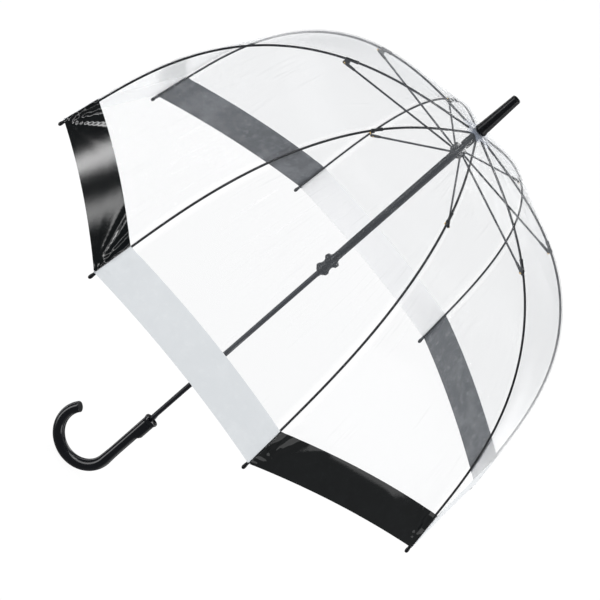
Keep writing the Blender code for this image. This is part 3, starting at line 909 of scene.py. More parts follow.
# ---------------------------------------------------------------- canopy
@dataclass
class Ridge:
    """The line in which two gores meet over a rib, in the plane of the rib."""

    crown_radius: float = 0.009
    crown_slope: float = math.radians(81.0)
    rim_slope: float = math.radians(12.5)
    bend_start: float = 0.020
    bend_end: float = 0.605
    length: float = 0.653
    fold_at: float = 0.320
    hem_width: float = 0.062
    hem_rise: float = 0.007
    hinge_at: float = 0.002
    steps: int = 1600

    def __post_init__(self) -> None:
        """Work out the line once, as radius and height at even steps."""
        longest = self.length + 0.03
        self.s = np.linspace(0.0, longest, self.steps + 1)
        middle = (self.s[1:] + self.s[:-1]) / 2
        step = longest / self.steps
        slope = self.slope(middle)
        out = np.concatenate([[0.0], np.cumsum(np.sin(slope) * step)])
        fall = np.concatenate([[0.0], np.cumsum(np.cos(slope) * step)])
        self.r = self.crown_radius + out
        hinge = joint_place("gore_1_crown_fold").z
        crown_height = hinge + self.hinge_at * math.cos(self.crown_slope)
        self.z = crown_height - fall

    def slope(self, s: np.ndarray | float) -> np.ndarray:
        """Slope from straight down, in radians, at lengths s."""
        u = np.clip((np.asarray(s) - self.bend_start) / (self.bend_end - self.bend_start), 0, 1)
        return self.crown_slope + (self.rim_slope - self.crown_slope) * u * u * (3 - 2 * u)

    def radius(self, s: np.ndarray | float) -> np.ndarray:
        """Distance from the shaft's axis at lengths s."""
        return np.interp(s, self.s, self.r) + np.minimum(s, 0.0) * math.sin(self.crown_slope)

    def height(self, s: np.ndarray | float) -> np.ndarray:
        """Height at lengths s."""
        return np.interp(s, self.s, self.z) - np.minimum(s, 0.0) * math.cos(self.crown_slope)

    def under(self, s: float, depth: float, radius: float) -> Station:
        """A station at a depth under the ridge, square to it.

        Args:
            s: Length along the ridge.
            depth: Distance under the ridge, or above it if negative.
            radius: The ring's radius.

        Returns:
            The station in the rib's plane.
        """
        slope = float(self.slope(s))
        return Station(
            float(self.radius(s)) - depth * math.cos(slope),
            float(self.height(s)) - depth * math.sin(slope),
            radius,
            slope,
        )


RIDGE = Ridge()


@dataclass
class Creases:
    """Small real wrinkles of the film, as heights along its outward normal."""

    number: int
    slack: float = 0.0016
    hem_slack: float = 0.06
    crown_pull: float = 0.0007
    rib_pucker: float = 0.0005
    fold_flat: float = 0.03
    corner_fold: float = 0.0017
    corner_reach: float = 0.060

    def heights(self, s: np.ndarray, across: np.ndarray, half: np.ndarray) -> np.ndarray:
        """Heights at points of a gore.

        Args:
            s: Length along the ridge.
            across: From -1 at one rib to 1 at the next.
            half: Half the gore's width there.

        Returns:
            Heights in metres, none at the ribs.
        """
        phase = 1.7 * self.number
        free = 1 - across**2
        from_rib = (1 - np.abs(across)) * half
        side = np.where(across > 0, 1.0, -1.0)
        waves = np.sin(9.0 * s + 2.1 * across + phase)
        waves += 0.6 * np.sin(21.0 * s - 3.3 * across + 2 * phase)
        taut = np.clip((RIDGE.length - RIDGE.hem_width - s) / 0.08, self.hem_slack, 1)
        total = self.slack * 0.5 * free * waves * np.clip(s / 0.15, 0, 1) * taut
        spread = np.sin(across * 13.0 + phase) + 0.7 * np.sin(across * 23.0 + 1.3 * phase)
        total += self.crown_pull * free * spread * np.exp(-(((s - 0.09) / 0.07) ** 2))
        pucker = np.sin(s * 210.0 + 1.9 * np.sin(s * 37.0 + phase) + side)
        near_rib = np.exp(-from_rib / 0.010) * np.clip(from_rib / 0.002, 0, 1)
        total += self.rib_pucker * pucker * near_rib
        total *= np.clip(np.abs(s - RIDGE.fold_at) / self.fold_flat, 0, 1)
        total += self._corner_folds(s, from_rib, side, phase)
        return total

    def _corner_folds(
        self, s: np.ndarray, from_rib: np.ndarray, side: np.ndarray, phase: float
    ) -> np.ndarray:
        """Folds that fan out from a tip, up along its rib."""
        up = np.maximum(RIDGE.length + 0.002 - s, 1e-5)
        distance = np.hypot(up, from_rib)
        angle = np.arctan2(from_rib, up)
        fan = np.sin(angle * 19.0 + phase + 0.8 * side) + 0.5 * np.sin(angle * 33.0 + 2 * phase)
        fan = fan * np.exp(-((angle / 0.55) ** 2)) * np.clip(angle / 0.06, 0, 1)
        size = (distance / 0.02) * np.exp(-distance / (self.corner_reach * 0.5))
        return self.corner_fold * 0.8 * fan * size * np.clip(distance / 0.012, 0, 1)


@dataclass
class Canopy:
    """Eight gores of clear film with their border bands, seams, and the star at the crown."""

    palette: Palette
    film: float = 0.00030
    inset: float = 0.00055
    gap: float = 0.0003
    start: float = 0.008
    columns: int = 48
    closed_share: float = 0.055
    star_radius: float = 0.0300
    star_thickness: float = 0.0005
    star_inner: float = 0.0058
    star_rings: int = 14
    star_cut: float = 0.34
    star_pleat: float = 0.00034
    star_area: float = 0.60
    seam_half_width: float = 0.0030
    seam_lift: float = 0.00055
    seam_start: float = 0.030
    crimp: float = 0.00008
    crimp_pitch: float = 0.006

    def build(self) -> None:
        """Build every gore, seam and the star."""
        for number in range(1, RIBS + 1):
            self.build_gore(number)
        self.build_seams()
        self.build_star()

    def build_gore(self, number: int) -> None:
        """Build one gore's two clear pieces and its band, and let them fold."""
        fold, hem, end = RIDGE.fold_at, RIDGE.length - RIDGE.hem_width, RIDGE.length
        rise, clear = RIDGE.hem_rise, hem - self.gap
        side = outwards(gore_angle(number) + math.pi / 2)
        parts = (
            ("clear_film_upper", (self.start, fold), (0, 0), 84, "upper", "canopy_panel", 0, fold),
            ("clear_film_lower", (fold, clear), (0, rise), 76, "lower", None, fold, hem),
            ("border_vinyl", (hem, end), (rise, rise), 40, "lower", "border_band", hem, end),
        )
        for name, span, rises, rows, half, node, first, last in parts:
            piece = self.sheet(f"{name}_{number}", number, span, rises, rows)
            if node == "border_band":
                self.colour_band(piece, number)
            else:
                Hands.dress(piece, self.palette.film, "clear_film")
            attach(piece, f"gore_{half}_{number}")
            if node:
                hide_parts(f"{node}_{number}")
            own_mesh(piece)
            width = 2 * float(RIDGE.radius(last)) * math.sin(HALF_TURN)
            start = 2 * float(RIDGE.radius(first)) * math.sin(HALF_TURN)
            last - first
            (width + start) / 2 * (last - first)
            report(piece)

    def colour_band(self, band: bpy.types.Object, number: int) -> None:
        """Give a band its colour outside and, on the faces that look inwards, a lighter copy of it
        with painted reflection and haze.
        """
        colour = Band.of(number)
        outer, inner = colour.finishes(self.palette)
        Hands.dress(band, outer, colour.value)
        band.data.materials.append(inner)
        inwards = -outwards(gore_angle(number))
        for face in band.data.polygons:
            face.material_index = int(face.normal.dot(inwards) > 0.2)

    def sheet(
        self,
        name: str,
        number: int,
        span: tuple[float, float],
        rise: tuple[float, float],
        rows: int,
    ) -> bpy.types.Object:
        """One piece of film between two ribs, straight from rib to rib but for its wrinkles.

        Args:
            name: The piece's name.
            number: The gore's number.
            span: Start and end along the ridge.
            rise: How far the two level edges rise at the middle of the gore.
            rows: Steps along the ridge.

        Returns:
            The film, with its thickness inwards, in place.
        """
        across = np.linspace(-1, 1, self.columns + 1)
        across = np.sign(across) * (1 - (1 - np.abs(across)) ** 1.25)
        along = np.linspace(0, 1, rows + 1)
        grid_across, grid_along = np.meshgrid(across, along)
        hollow = 1 - grid_across**2
        first, last = span[0] - rise[0] * hollow, span[1] - rise[1] * hollow
        s = first + (last - first) * grid_along
        radius, slope = RIDGE.radius(s), RIDGE.slope(s)
        half = radius * math.sin(HALF_TURN) - self.inset
        lift = Creases(number).heights(s, grid_across, half) + self.film / 2
        normal_x, normal_z = np.cos(slope), np.sin(slope) * math.cos(HALF_TURN)
        size = np.hypot(normal_x, normal_z)
        x = radius * math.cos(HALF_TURN) + lift * normal_x / size
        z = RIDGE.height(s) + lift * normal_z / size
        points = np.stack([x, grid_across * half, z], axis=-1).reshape(-1, 3)
        uv = np.stack([grid_across / 2 + 0.5, s / RIDGE.length], axis=-1).reshape(-1, 2)
        piece = self._mesh(name, points, uv, rows, self.columns)
        piece.data.transform(Matrix.Rotation(gore_angle(number), 4, "Z"))
        Hands.modify(piece, "SOLIDIFY", thickness=self.film, offset=-1.0)
        bpy.ops.object.shade_smooth_by_angle(angle=math.radians(50.0))
        return piece

    @staticmethod
    def _mesh(
        name: str, points: np.ndarray, uv: np.ndarray, rows: int, columns: int
    ) -> bpy.types.Object:
        """A grid of faces from its points, with its map."""
        wide = columns + 1
        faces = [
            (row * wide + c, (row + 1) * wide + c, (row + 1) * wide + c + 1, row * wide + c + 1)
            for row in range(rows)
            for c in range(columns)
        ]
        mesh = bpy.data.meshes.new(name)
        mesh.from_pydata(points.tolist(), [], faces)
        layer = mesh.uv_layers.new(name="UVMap")
        corners = np.empty(len(mesh.loops), np.int32)
        mesh.loops.foreach_get("vertex_index", corners)
        layer.data.foreach_set("uv", uv[corners].reshape(-1).astype(np.float32))
        piece = bpy.data.objects.new(name, mesh)
        bpy.context.scene.collection.objects.link(piece)
        return piece

    def build_seams(self) -> None:
        """The welded flanges that join two gores over each rib."""
        pattern = self.seam()
        start, end = Ribs.bending_line()
        for number in range(1, RIBS + 1):
            angle = rib_angle(number)
            piece = Hands.copy(pattern, f"welded_seam_{number}", angle)
            Hands.dress(piece, self.palette.seam, "clear_film")
            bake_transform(piece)
            report(piece)
        Hands.discard(pattern)

    def seam(self) -> bpy.types.Object:
        """One seam in the XZ plane: a narrow strip, folded over the ridge, crimped by the weld."""
        rows, columns = 210, 4
        s = np.linspace(self.seam_start, RIDGE.length - 0.002, rows + 1)[:, None]
        across = np.linspace(-1, 1, columns + 1)[None, :]
        crimp = self.crimp * np.sin(s * 2 * math.pi / self.crimp_pitch) * (1 - across**2)
        slope = RIDGE.slope(s)
        fall = np.abs(across) * self.seam_half_width * math.sin(HALF_TURN)
        lift = self.seam_lift + crimp - fall * 0.86
        x = RIDGE.radius(s) + lift * np.cos(slope)
        z = RIDGE.height(s) + lift * np.sin(slope)
        y = across * self.seam_half_width * math.cos(HALF_TURN) + 0 * s
        points = np.stack([x, y, z], axis=-1).reshape(-1, 3)
        uv = np.stack([across / 2 + 0.5 + 0 * s, s / RIDGE.length + 0 * across], axis=-1)
        piece = self._mesh("seam_pattern", points, uv.reshape(-1, 2), rows, columns)
        Hands.modify(piece, "SOLIDIFY", thickness=0.0002, offset=1.0)
        return piece

    def build_star(self) -> None:
        """The star of thicker film at the crown: a ring grown outwards, pleated to its points."""
        _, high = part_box("crown_patch")
        inner = self.star_inner
        Hands.clear()
        bpy.ops.mesh.primitive_circle_add(
            vertices=192, radius=inner, location=(0, 0, high.z - self.star_thickness / 2)
        )
        piece = Hands.start("crown_star")
        growth = (self.star_radius / inner) ** (1 / self.star_rings)
        for _ in range(self.star_rings):
            bpy.ops.mesh.extrude_region_move(TRANSFORM_OT_translate={"value": (0, 0, 0)})
            bpy.ops.transform.resize(value=(growth, growth, 1.0), center_override=(0, 0, 0))
        Hands.finish(piece, outward=False)
        slope = math.tan(math.pi / 2 - RIDGE.crown_slope)
        for vert in piece.data.vertices:
            radius = math.hypot(vert.co.x, vert.co.y)
            angle = math.atan2(vert.co.y, vert.co.x)
            share = (radius - inner) / (self.star_radius - inner)
            wave = 0.5 + 0.5 * math.cos(RIBS * (angle - FIRST_RIB))
            scale = 1 - share * self.star_cut * (1 - wave**1.6)
            pleat = self.star_pleat * math.sin(5 * RIBS * angle) * share * (1 - wave)
            fall = max(0.0, radius * scale - RIDGE.crown_radius) * slope
            vert.co = (vert.co.x * scale, vert.co.y * scale, vert.co.z - fall + pleat)
        Hands.modify(piece, "SOLIDIFY", thickness=self.star_thickness, offset=0.0)
        bpy.ops.object.mode_set(mode="EDIT")
        Hands.finish(piece)
        settle(piece, self.palette.star, "crown_film", "root", "crown_patch")


# ---------------------------------------------------------------- ribs and stretchers
@dataclass
class Ribs:
    """Eight rods with their clamps, tips, stretchers and rivets."""

    palette: Palette
    depth: float = 0.003247
    rod_radius: float = 0.0017
    eye_radius: float = 0.0012
    eye_length: float = 0.0060
    clamp_at: float = 0.212
    clamp_length: float = 0.020
    clamp_radius: float = 0.00255
    lug_drop: float = 0.004
    lug_root: float = 0.0018
    lug_length: float = 0.0085
    lug_back: float = 0.0038
    lug_bevel: float = 0.0006
    lug_thickness: float = 0.0016
    rod_end: float = 0.648
    tip_gap: float = 0.0003
    tip_length: float = 0.0165
    tip_radius: float = 0.0029
    arm_radius: float = 0.0015
    fitting_length: float = 0.019
    fitting_radius: float = 0.0023
    side_step: float = 0.0051
    loop_radius: float = 0.0029
    loop_wire: float = 0.00045
    oval: float = 0.86
    rod_rings: int = 96
    arm_rings: int = 40
    rod_sides: int = 14

    @staticmethod
    def bending_line() -> tuple[Vector, Vector]:
        """Start and end, in the plane of a rib at +X, of the stretch over which a rod bends."""
        pivot = joint_place("rib_1_crown_hinge")
        end = RIDGE.under(Ribs.rod_end, Ribs.depth, 1.0)
        return Vector((reach(pivot), 0, pivot.z)), Vector((end.x, 0, end.z))

    def build(self) -> None:
        """Build the patterns once and copy them round the shaft."""
        rod, clamp, tip = self.rod(), self.clamp(), self.tip()
        loop, arm, fitting, rivet = self.loop(), self.arm(), self.fitting(), self.rivet()
        start, end = self.bending_line()
        for number in range(1, RIBS + 1):
            angle = rib_angle(number)
            inner, outer = f"rib_inner_{number}", f"rib_outer_{number}"
            bent = (
                (rod, "rib_rod", self.palette.rod, "fibreglass"),
                (clamp, "rib_clamp", self.palette.moulding, "black_plastic"),
            )
            for pattern, name, finish, slot in bent:
                piece = Hands.copy(pattern, f"{name}_{number}", angle)
                Hands.dress(piece, finish, slot)
                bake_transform(piece)
                if pattern is rod:
                    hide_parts(f"rib_{number}_inner", f"rib_{number}_outer")
                report(piece)
            body = f"stretcher_arm_{number}"
            steel, black = "dark_steel", "black_plastic"
            riding = (
                (tip, "tip_cap", self.palette.moulding, black, outer, f"rib_{number}_tip"),
                (loop, "tip_loop", self.palette.zinc, "clear_film", outer),
                (arm, "stretcher_arm", self.palette.steel, steel, body, f"stretcher_{number}"),
                (fitting, "stretcher_fitting", self.palette.moulding, black, body),
                (rivet, "stretcher_rivet", self.palette.brass, steel, body),
            )
            for pattern, name, *rest in riding:
                settle(Hands.copy(pattern, f"{name}_{number}", angle), *rest)
        Hands.discard(rod, clamp, tip, loop, arm, fitting, rivet)

    def _under(
        self, start: float, shape: Sequence[tuple[float, float]], radius: float, long: float = 1.0
    ) -> list[Station]:
        """Rings round the rod's line.

        Args:
            start: Where on the ridge the piece begins.
            shape: Each ring's place and its width against the radius.
            radius: The piece's radius.
            long: What the places are multiplied by.

        Returns:
            The rings.
        """
        return [RIDGE.under(start + long * at, self.depth, radius * wide) for at, wide in shape]

    def rod(self) -> bpy.types.Object:
        """The whole rod from its eye in the notch to its tip, in the plane at +X."""
        places = [(-0.0009, 0.5), (-0.0004, 1.0), (self.eye_length, 1.0)]
        stations = self._under(0.0, places, self.eye_radius)
        full = self.eye_length + 0.0025
        for n in range(self.rod_rings + 1):
            s = full + (self.rod_end - full) * n / self.rod_rings
            stations.append(RIDGE.under(s, self.depth, self.rod_radius))
        stations.append(RIDGE.under(self.rod_end + 0.0005, self.depth, self.rod_radius * 0.7))
        piece = Hands.sweep("rod_pattern", stations, self.rod_sides)
        paint_length(piece, self.rod_sides)
        return piece

    def clamp(self) -> bpy.types.Object:
        """The sleeve crimped on the rod, with two rolled ends and a lug under it."""
        shape = (
            (0.000, 0.72), (0.0006, 0.98), (0.0016, 1.06), (0.0026, 1.02), (0.0034, 0.93),
            (0.0095, 0.90), (0.0160, 0.93), (0.0168, 1.02), (0.0180, 1.06), (0.0192, 0.98),
            (0.0200, 0.72),
        )
        stations = self._under(self.clamp_at - self.clamp_length, shape, self.clamp_radius)
        sleeve = Hands.sweep("clamp_pattern", stations, 24)
        knee = RIDGE.under(self.clamp_at, self.depth, 1.0)
        tall = self.lug_drop + self.lug_root
        size = (self.lug_length, self.lug_thickness, tall)
        lug = Hands.block("lug_pattern", (0, 0, 0), size, self.lug_bevel)
        lug.data.transform(
            Matrix.Translation((knee.x, 0, knee.z))
            @ Matrix.Rotation(math.pi / 2 - knee.turn, 4, "Y")
            @ Matrix.Translation((-self.lug_back, 0, -tall / 2))
        )
        Hands.combine(sleeve, [lug], "UNION")
        return sleeve

    def tip(self) -> bpy.types.Object:
        """The drop-shaped cap on the rod's end, with a groove for the film's loop."""
        shape = (
            (0.00, 0.62), (0.02, 0.80), (0.10, 0.86), (0.13, 0.86), (0.15, 0.72), (0.21, 0.70),
            (0.23, 0.84), (0.34, 0.80), (0.46, 0.82), (0.55, 0.90), (0.64, 0.97), (0.72, 1.00),
            (0.80, 0.99), (0.87, 0.92), (0.93, 0.79), (0.97, 0.60), (0.99, 0.38), (1.00, 0.16),
        )
        start = self.rod_end + self.tip_gap
        stations = self._under(start, shape, self.tip_radius, self.tip_length)
        return Hands.sweep("tip_pattern", stations, 28, angle=50.0)

    def loop(self) -> bpy.types.Object:
        """The small eyelet that ties the film's corner to the tip's groove."""
        middle = RIDGE.under(self.rod_end + 0.0033, self.depth - 0.0008, 1.0)
        place = (middle.x, 0, middle.z)
        return Hands.hoop(
            "loop_pattern", place, self.loop_radius, self.loop_wire, (28, 8), middle.turn, self.oval
        )

    def _reach(self) -> tuple[Vector, Vector, float]:
        """Start, direction and length of the stretcher beside the rib at +X."""
        pivot = joint_place("stretcher_1_hinge")
        start = Vector((math.sqrt(reach(pivot) ** 2 - self.side_step**2), self.side_step, pivot.z))
        upper = RIDGE.under(self.clamp_at, self.depth + self.lug_drop, 1.0)
        end = Vector((upper.x, self.side_step, upper.z))
        return start, (end - start).normalized(), (end - start).length

    def _along(self, piece: bpy.types.Object) -> bpy.types.Object:
        """Lay a piece modelled down -Z from the origin along the stretcher."""
        start, direction, _ = self._reach()
        turn = math.atan2(direction.x, -direction.z)
        piece.data.transform(Matrix.Translation(start) @ Matrix.Rotation(-turn, 4, "Y"))
        return piece

    def arm(self) -> bpy.types.Object:
        """The stretcher's rod, with a flat eye and a groove pressed along its underside."""
        _, _, length = self._reach()
        end = length - self.fitting_length * 0.55
        places = [(-0.0012, 0.45), (-0.0006, 0.75), (0.0045, 0.78), (0.0072, 1.0)]
        stations = [Station(0, -along, self.arm_radius * wide) for along, wide in places]
        neck = places[-1][0]
        for n in range(1, self.arm_rings + 1):
            along = neck + (end - neck) * n / self.arm_rings
            stations.append(Station(0, -along, self.arm_radius))
        piece = Hands.sweep("arm_pattern", stations, 16)
        bpy.ops.object.mode_set(mode="EDIT")
        Hands.choose(
            piece,
            lambda face: face.normal.x < -0.9 and -end + 0.004 < face.center.z < -0.012,
        )
        bpy.ops.mesh.inset(thickness=0.0001, depth=-0.0005)
        Hands.finish(piece)
        return self._along(piece)

    def fitting(self) -> bpy.types.Object:
        """The moulded end fitting that carries the rivet."""
        _, _, length = self._reach()
        first = length - self.fitting_length
        shape = (
            (0.0, 0.70), (0.0008, 0.84), (0.0020, 0.90), (0.0030, 0.86), (0.0040, 0.90),
            (0.0090, 0.96), (0.0130, 1.00), (0.0185, 1.00), (0.0200, 0.96), (0.0211, 0.80),
            (0.0217, 0.50),
        )
        stations = [
            Station(0, -(first + along), self.fitting_radius * wide) for along, wide in shape
        ]
        piece = Hands.sweep("fitting_pattern", stations, 24)
        bpy.ops.object.mode_set(mode="EDIT")
        bpy.ops.mesh.select_all(action="SELECT")
        bpy.ops.transform.resize(value=(1.0, self.oval, 1.0), center_override=(0, 0, 0))
        Hands.choose(
            piece, lambda face: abs(face.normal.y) > 0.9 and face.center.z < -(first + 0.010)
        )
        bpy.ops.mesh.inset(thickness=0.0003, depth=-0.00025)
        Hands.finish(piece)
        return self._along(piece)

    def rivet(self) -> bpy.types.Object:
        """The brass rivet through the fitting and the clamp's lug, with two domed heads."""
        _, _, length = self._reach()
        near, far = -self.side_step - 0.0014, self.fitting_radius * self.oval + 0.0004
        profile = (
            (0.00035, far + 0.00045), (0.0008, far + 0.00035), (0.00125, far + 8e-05),
            (0.00135, far - 0.0002), (0.0008, far - 0.0003), (0.0008, near + 0.0003),
            (0.00135, near + 0.0002), (0.00125, near - 8e-05), (0.0008, near - 0.00035),
            (0.00035, near - 0.00045),
        )
        piece = Hands.turned("rivet_pattern", profile, 20, tube=False)
        piece.data.transform(
            Matrix.Translation((0, 0, -length)) @ Matrix.Rotation(-math.pi / 2, 4, "X")
        )
        return self._along(piece)


# ---------------------------------------------------------------- shaft, crown and ferrule
@dataclass
class Crown:
    """The shaft, its catches, the ribs' notch with its wire, and the ferrule."""

    palette: Palette
    shaft_radius: float = 0.004
    bore: float = 0.0043
    wall: float = 0.0007
    slot: float = 0.0015
    slot_length: float = 0.010
    eye: float = 0.0012
    gap: float = 0.0003

    def build(self) -> None:
        """Build all of them on the root body, and dress the catches."""
        for piece, node, slot, finish in (
            (self.shaft(), "shaft", "dark_steel", self.palette.steel),
            (self.ferrule(), "ferrule", "black_plastic", self.palette.moulding),
            (self.notch(), "top_notch", "black_plastic", self.palette.moulding),
            (self.wire(), "notch_wire", "dark_steel", self.palette.zinc),
        ):
            settle(piece, finish, slot, "root", node)
        for node in ("upper_catch", "lower_catch"):
            for place in frame["nodes"][node].material_slots:
                place.material = self.palette.zinc
            LOG.info("%s: dressed", node)

    def shaft(self) -> bpy.types.Object:
        """The drawn tube with the two catches' slots cut through its side."""
        low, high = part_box("shaft")
        inner = self.shaft_radius - self.wall
        profile = [(self.shaft_radius - 0.0002, high.z), (self.shaft_radius, high.z - 0.0002)]
        count = 24
        for n in range(1, count):
            profile.append((self.shaft_radius, high.z + (low.z - high.z) * n / count))
        profile += [
            *near(self.shaft_radius, low.z, (0, 0.2), (-0.2, 0)), (inner, low.z), (inner, high.z),
        ]
        piece = Hands.turned("steel_shaft", profile, 64)
        cutters = []
        for node in ("upper_catch", "lower_catch"):
            bottom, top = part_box(node)
            room = top - bottom + 2 * self.gap * Vector((1, 1, 1))
            place = (self.shaft_radius, 0, (bottom.z + top.z) / 2)
            cutters.append(Hands.block(f"{node}_slot", place, (self.shaft_radius, room.y, room.z)))
        Hands.combine(piece, cutters, "DIFFERENCE")
        return piece

    def ferrule(self) -> bpy.types.Object:
        """The tapered spike with a rolled foot and a hollow end with a rim."""
        low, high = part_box("ferrule")
        base, end = high.x, 0.0070
        profile = [
            (0.0012, high.z - 0.0022),
            *near(end, high.z, (-2, -2.2), (-1.6, -0.2), (-1, 0), (-0.3, -0.4), (0, -1.4)),
        ]
        count = 18
        foot = low.z + 0.0062
        for n in range(1, count + 1):
            share = n / count
            profile.append((end + (base - 0.0006 - end) * share, high.z - 0.0014
                            + (foot - high.z + 0.0014) * share))
        profile += [
            *near(base, low.z, (-0.2, 5), (0, 4.2), (0, 1), (-0.7, 0)),
            *near(self.bore, low.z, (0, 0), (0, 30)), (0.0012, low.z + 0.03),
        ]
        return Hands.turned("ferrule_spike", profile, 72, tube=False)

    def notch(self) -> bpy.types.Object:
        """The disc with a slot for each rib's eye, over its ringed neck."""
        low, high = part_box("top_notch")
        pivot = joint_place("rib_1_crown_hinge")
        disc, neck = high.x, 0.0067
        bottom = high.z - 0.0060
        profile = [
            *near(disc, high.z, (-0.6, 0), (0, -0.6)), *near(disc, bottom, (0, 0.6), (-0.6, 0)),
            *near(neck, bottom, (0, -0.8), (0, -6), (-0.6, -6.6), (-0.6, -8), (0, -8.6)),
            *near(neck, low.z, (0, 2.8), (-0.5, 2.2), (-0.5, 1), (0, 0.6), (-0.4, 0)),
            (self.bore, low.z), (self.bore, high.z),
        ]
        piece = Hands.turned("rib_notch", profile, 96)
        start = reach(pivot) + 0.001 - self.eye - 4 * self.gap
        self.cut_slots(piece, start, 0.0, bottom - 0.001, high.z + 0.002)
        return piece

    def cut_slots(
        self, piece: bpy.types.Object, start: float, step: float, low: float, high: float
    ) -> None:
        """Cut eight slots, one for each rib.

        Args:
            piece: The turned piece.
            start: Distance from the axis where a slot begins.
            step: How far to the side of the rib's plane it lies.
            low: Its lowest height.
            high: Its highest height.
        """
        cutters = []
        for number in range(1, RIBS + 1):
            cutter = Hands.block(
                f"slot_cutter_{number}", (start + self.slot_length / 2, step, (low + high) / 2),
                (self.slot_length, 2 * self.slot, high - low),
            )
            cutter.data.transform(Matrix.Rotation(rib_angle(number), 4, "Z"))
            cutters.append(cutter)
        Hands.combine(piece, cutters, "DIFFERENCE")

    @staticmethod
    def wire() -> bpy.types.Object:
        """The wire ring that binds the ribs' eyes in the notch."""
        low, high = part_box("notch_wire")
        thick = (high.z - low.z) / 2
        place = (0, 0, (low.z + high.z) / 2)
        return Hands.hoop("binding_wire", place, high.x - thick, thick, (64, 10))


# ---------------------------------------------------------------- runner
@dataclass
class Runner:
    """The sliding piece: the slotted head, the long sleeve and the spool grip."""

    palette: Palette
    crown: Crown
    sleeve_radius: float = 0.0062
    upper_radius: float = 0.0130
    lower_radius: float = 0.0115
    waist_radius: float = 0.0080
    wire_rise: float = 0.0022
    wire_ring: float = 0.0100
    wire_radius: float = 0.0004
    lobes: int = 6
    lobe_depth: float = 0.085

    def build(self) -> None:
        """Build the three on the runner's body."""
        for piece, node in (
            (self.head(), "runner_head"),
            (self.sleeve(), "runner_sleeve"),
            (self.grip(), "runner_grip"),
        ):
            settle(piece, self.palette.moulding, "black_plastic", "runner", node)
        settle(self.wire(), self.palette.zinc, "dark_steel", "runner")

    def head(self) -> bpy.types.Object:
        """The head, with a slot beside each rib's plane for its stretcher."""
        low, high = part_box("runner_head")
        pivot = joint_place("stretcher_1_hinge")
        disc, bore = high.x, self.crown.bore
        profile = [
            *near(disc, high.z, (-0.8, 0), (-0.2, -0.3), (0, -1)),
            *near(disc, low.z, (0, 4.4), (-0.3, 3.6), (-1.2, 2.6)),
            *near(self.sleeve_radius, low.z, (1.4, 0.4), (1, 0)), (bore, low.z), (bore, high.z),
        ]
        piece = Hands.turned("runner_crown", profile, 96)
        start = 0.0095 - self.crown.eye - 4 * self.crown.gap
        bottom = pivot.z - self.crown.eye - 4 * self.crown.gap
        self.crown.cut_slots(piece, start, Ribs.side_step, bottom, high.z + 0.002)
        return piece

    def wire(self) -> bpy.types.Object:
        """The wire ring that pins the stretchers' eyes in the head, in its groove."""
        pivot = joint_place("stretcher_1_hinge")
        place = (0, 0, pivot.z + self.wire_rise)
        return Hands.hoop("runner_wire", place, self.wire_ring, self.wire_radius, (64, 8))

    def sleeve(self) -> bpy.types.Object:
        """The long sleeve, with a shallow ring near each end."""
        low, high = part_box("runner_sleeve")
        wide, bore = self.sleeve_radius, self.crown.bore
        profile = [
            *near(
                wide, high.z,
                (-0.3, 0), (0, -0.3), (0, -9), (-0.4, -9.6), (-0.4, -11), (0, -11.6),
            ),
        ]
        count = 12
        top, bottom = high.z - 0.0116, low.z + 0.0106
        profile += [(wide, top + (bottom - top) * n / count) for n in range(1, count)]
        profile += [
            (wide, bottom),
            *near(wide, low.z, (-0.4, 10), (-0.4, 8.6), (0, 8), (0, 0.3), (-0.3, 0)),
            (bore, low.z), (bore, high.z),
        ]
        return Hands.turned("runner_tube", profile, 56)

    def grip(self) -> bpy.types.Object:
        """The spool: a lobed flange above, a waist, and a smaller lobed flange below."""
        low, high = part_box("runner_grip")
        upper, lower = high.z - 0.0085, low.z + 0.0065
        waist = (upper + lower) / 2
        wide, small, bore = self.upper_radius, self.lower_radius, self.crown.bore
        profile = [
            *near(self.sleeve_radius, high.z, (0.1, 0), (0.5, -0.4), (1, -3.5), (2.4, -5)),
            *near(wide, upper, (-2.2, 3), (-0.8, 2.2), (0, 1), (0, -1), (-0.7, -2.2), (-2, -3)),
            *near(self.waist_radius, upper, (1.6, -5), (0.6, -6.6)),
            *near(self.waist_radius, waist, (0, 1), (0, -1)),
            *near(self.waist_radius, lower, (0.6, 5.6), (1.8, 3.8)),
            *near(
                small, lower,
                (-1.4, 2.6), (-0.4, 1.8), (0, 0.8), (0, -1), (-0.6, -2), (-1.8, -2.8),
            ),
            *near(self.sleeve_radius, low.z, (2, 1.4), (0.8, 0.4), (0.4, 0)), (bore, low.z),
            (bore, high.z),
        ]
        piece = Hands.turned("spool_grip", profile, 96)
        for vert in piece.data.vertices:
            radius = math.hypot(vert.co.x, vert.co.y)
            share = (radius - self.waist_radius) / (wide - self.waist_radius)
            if share <= 0:
                continue
            angle = math.atan2(vert.co.y, vert.co.x)
            scale = 1 - self.lobe_depth * share * (0.5 + 0.5 * math.cos(self.lobes * angle)) ** 2
            vert.co.x *= scale
            vert.co.y *= scale
        bpy.ops.object.shade_smooth_by_angle(angle=math.radians(40.0))
        return piece


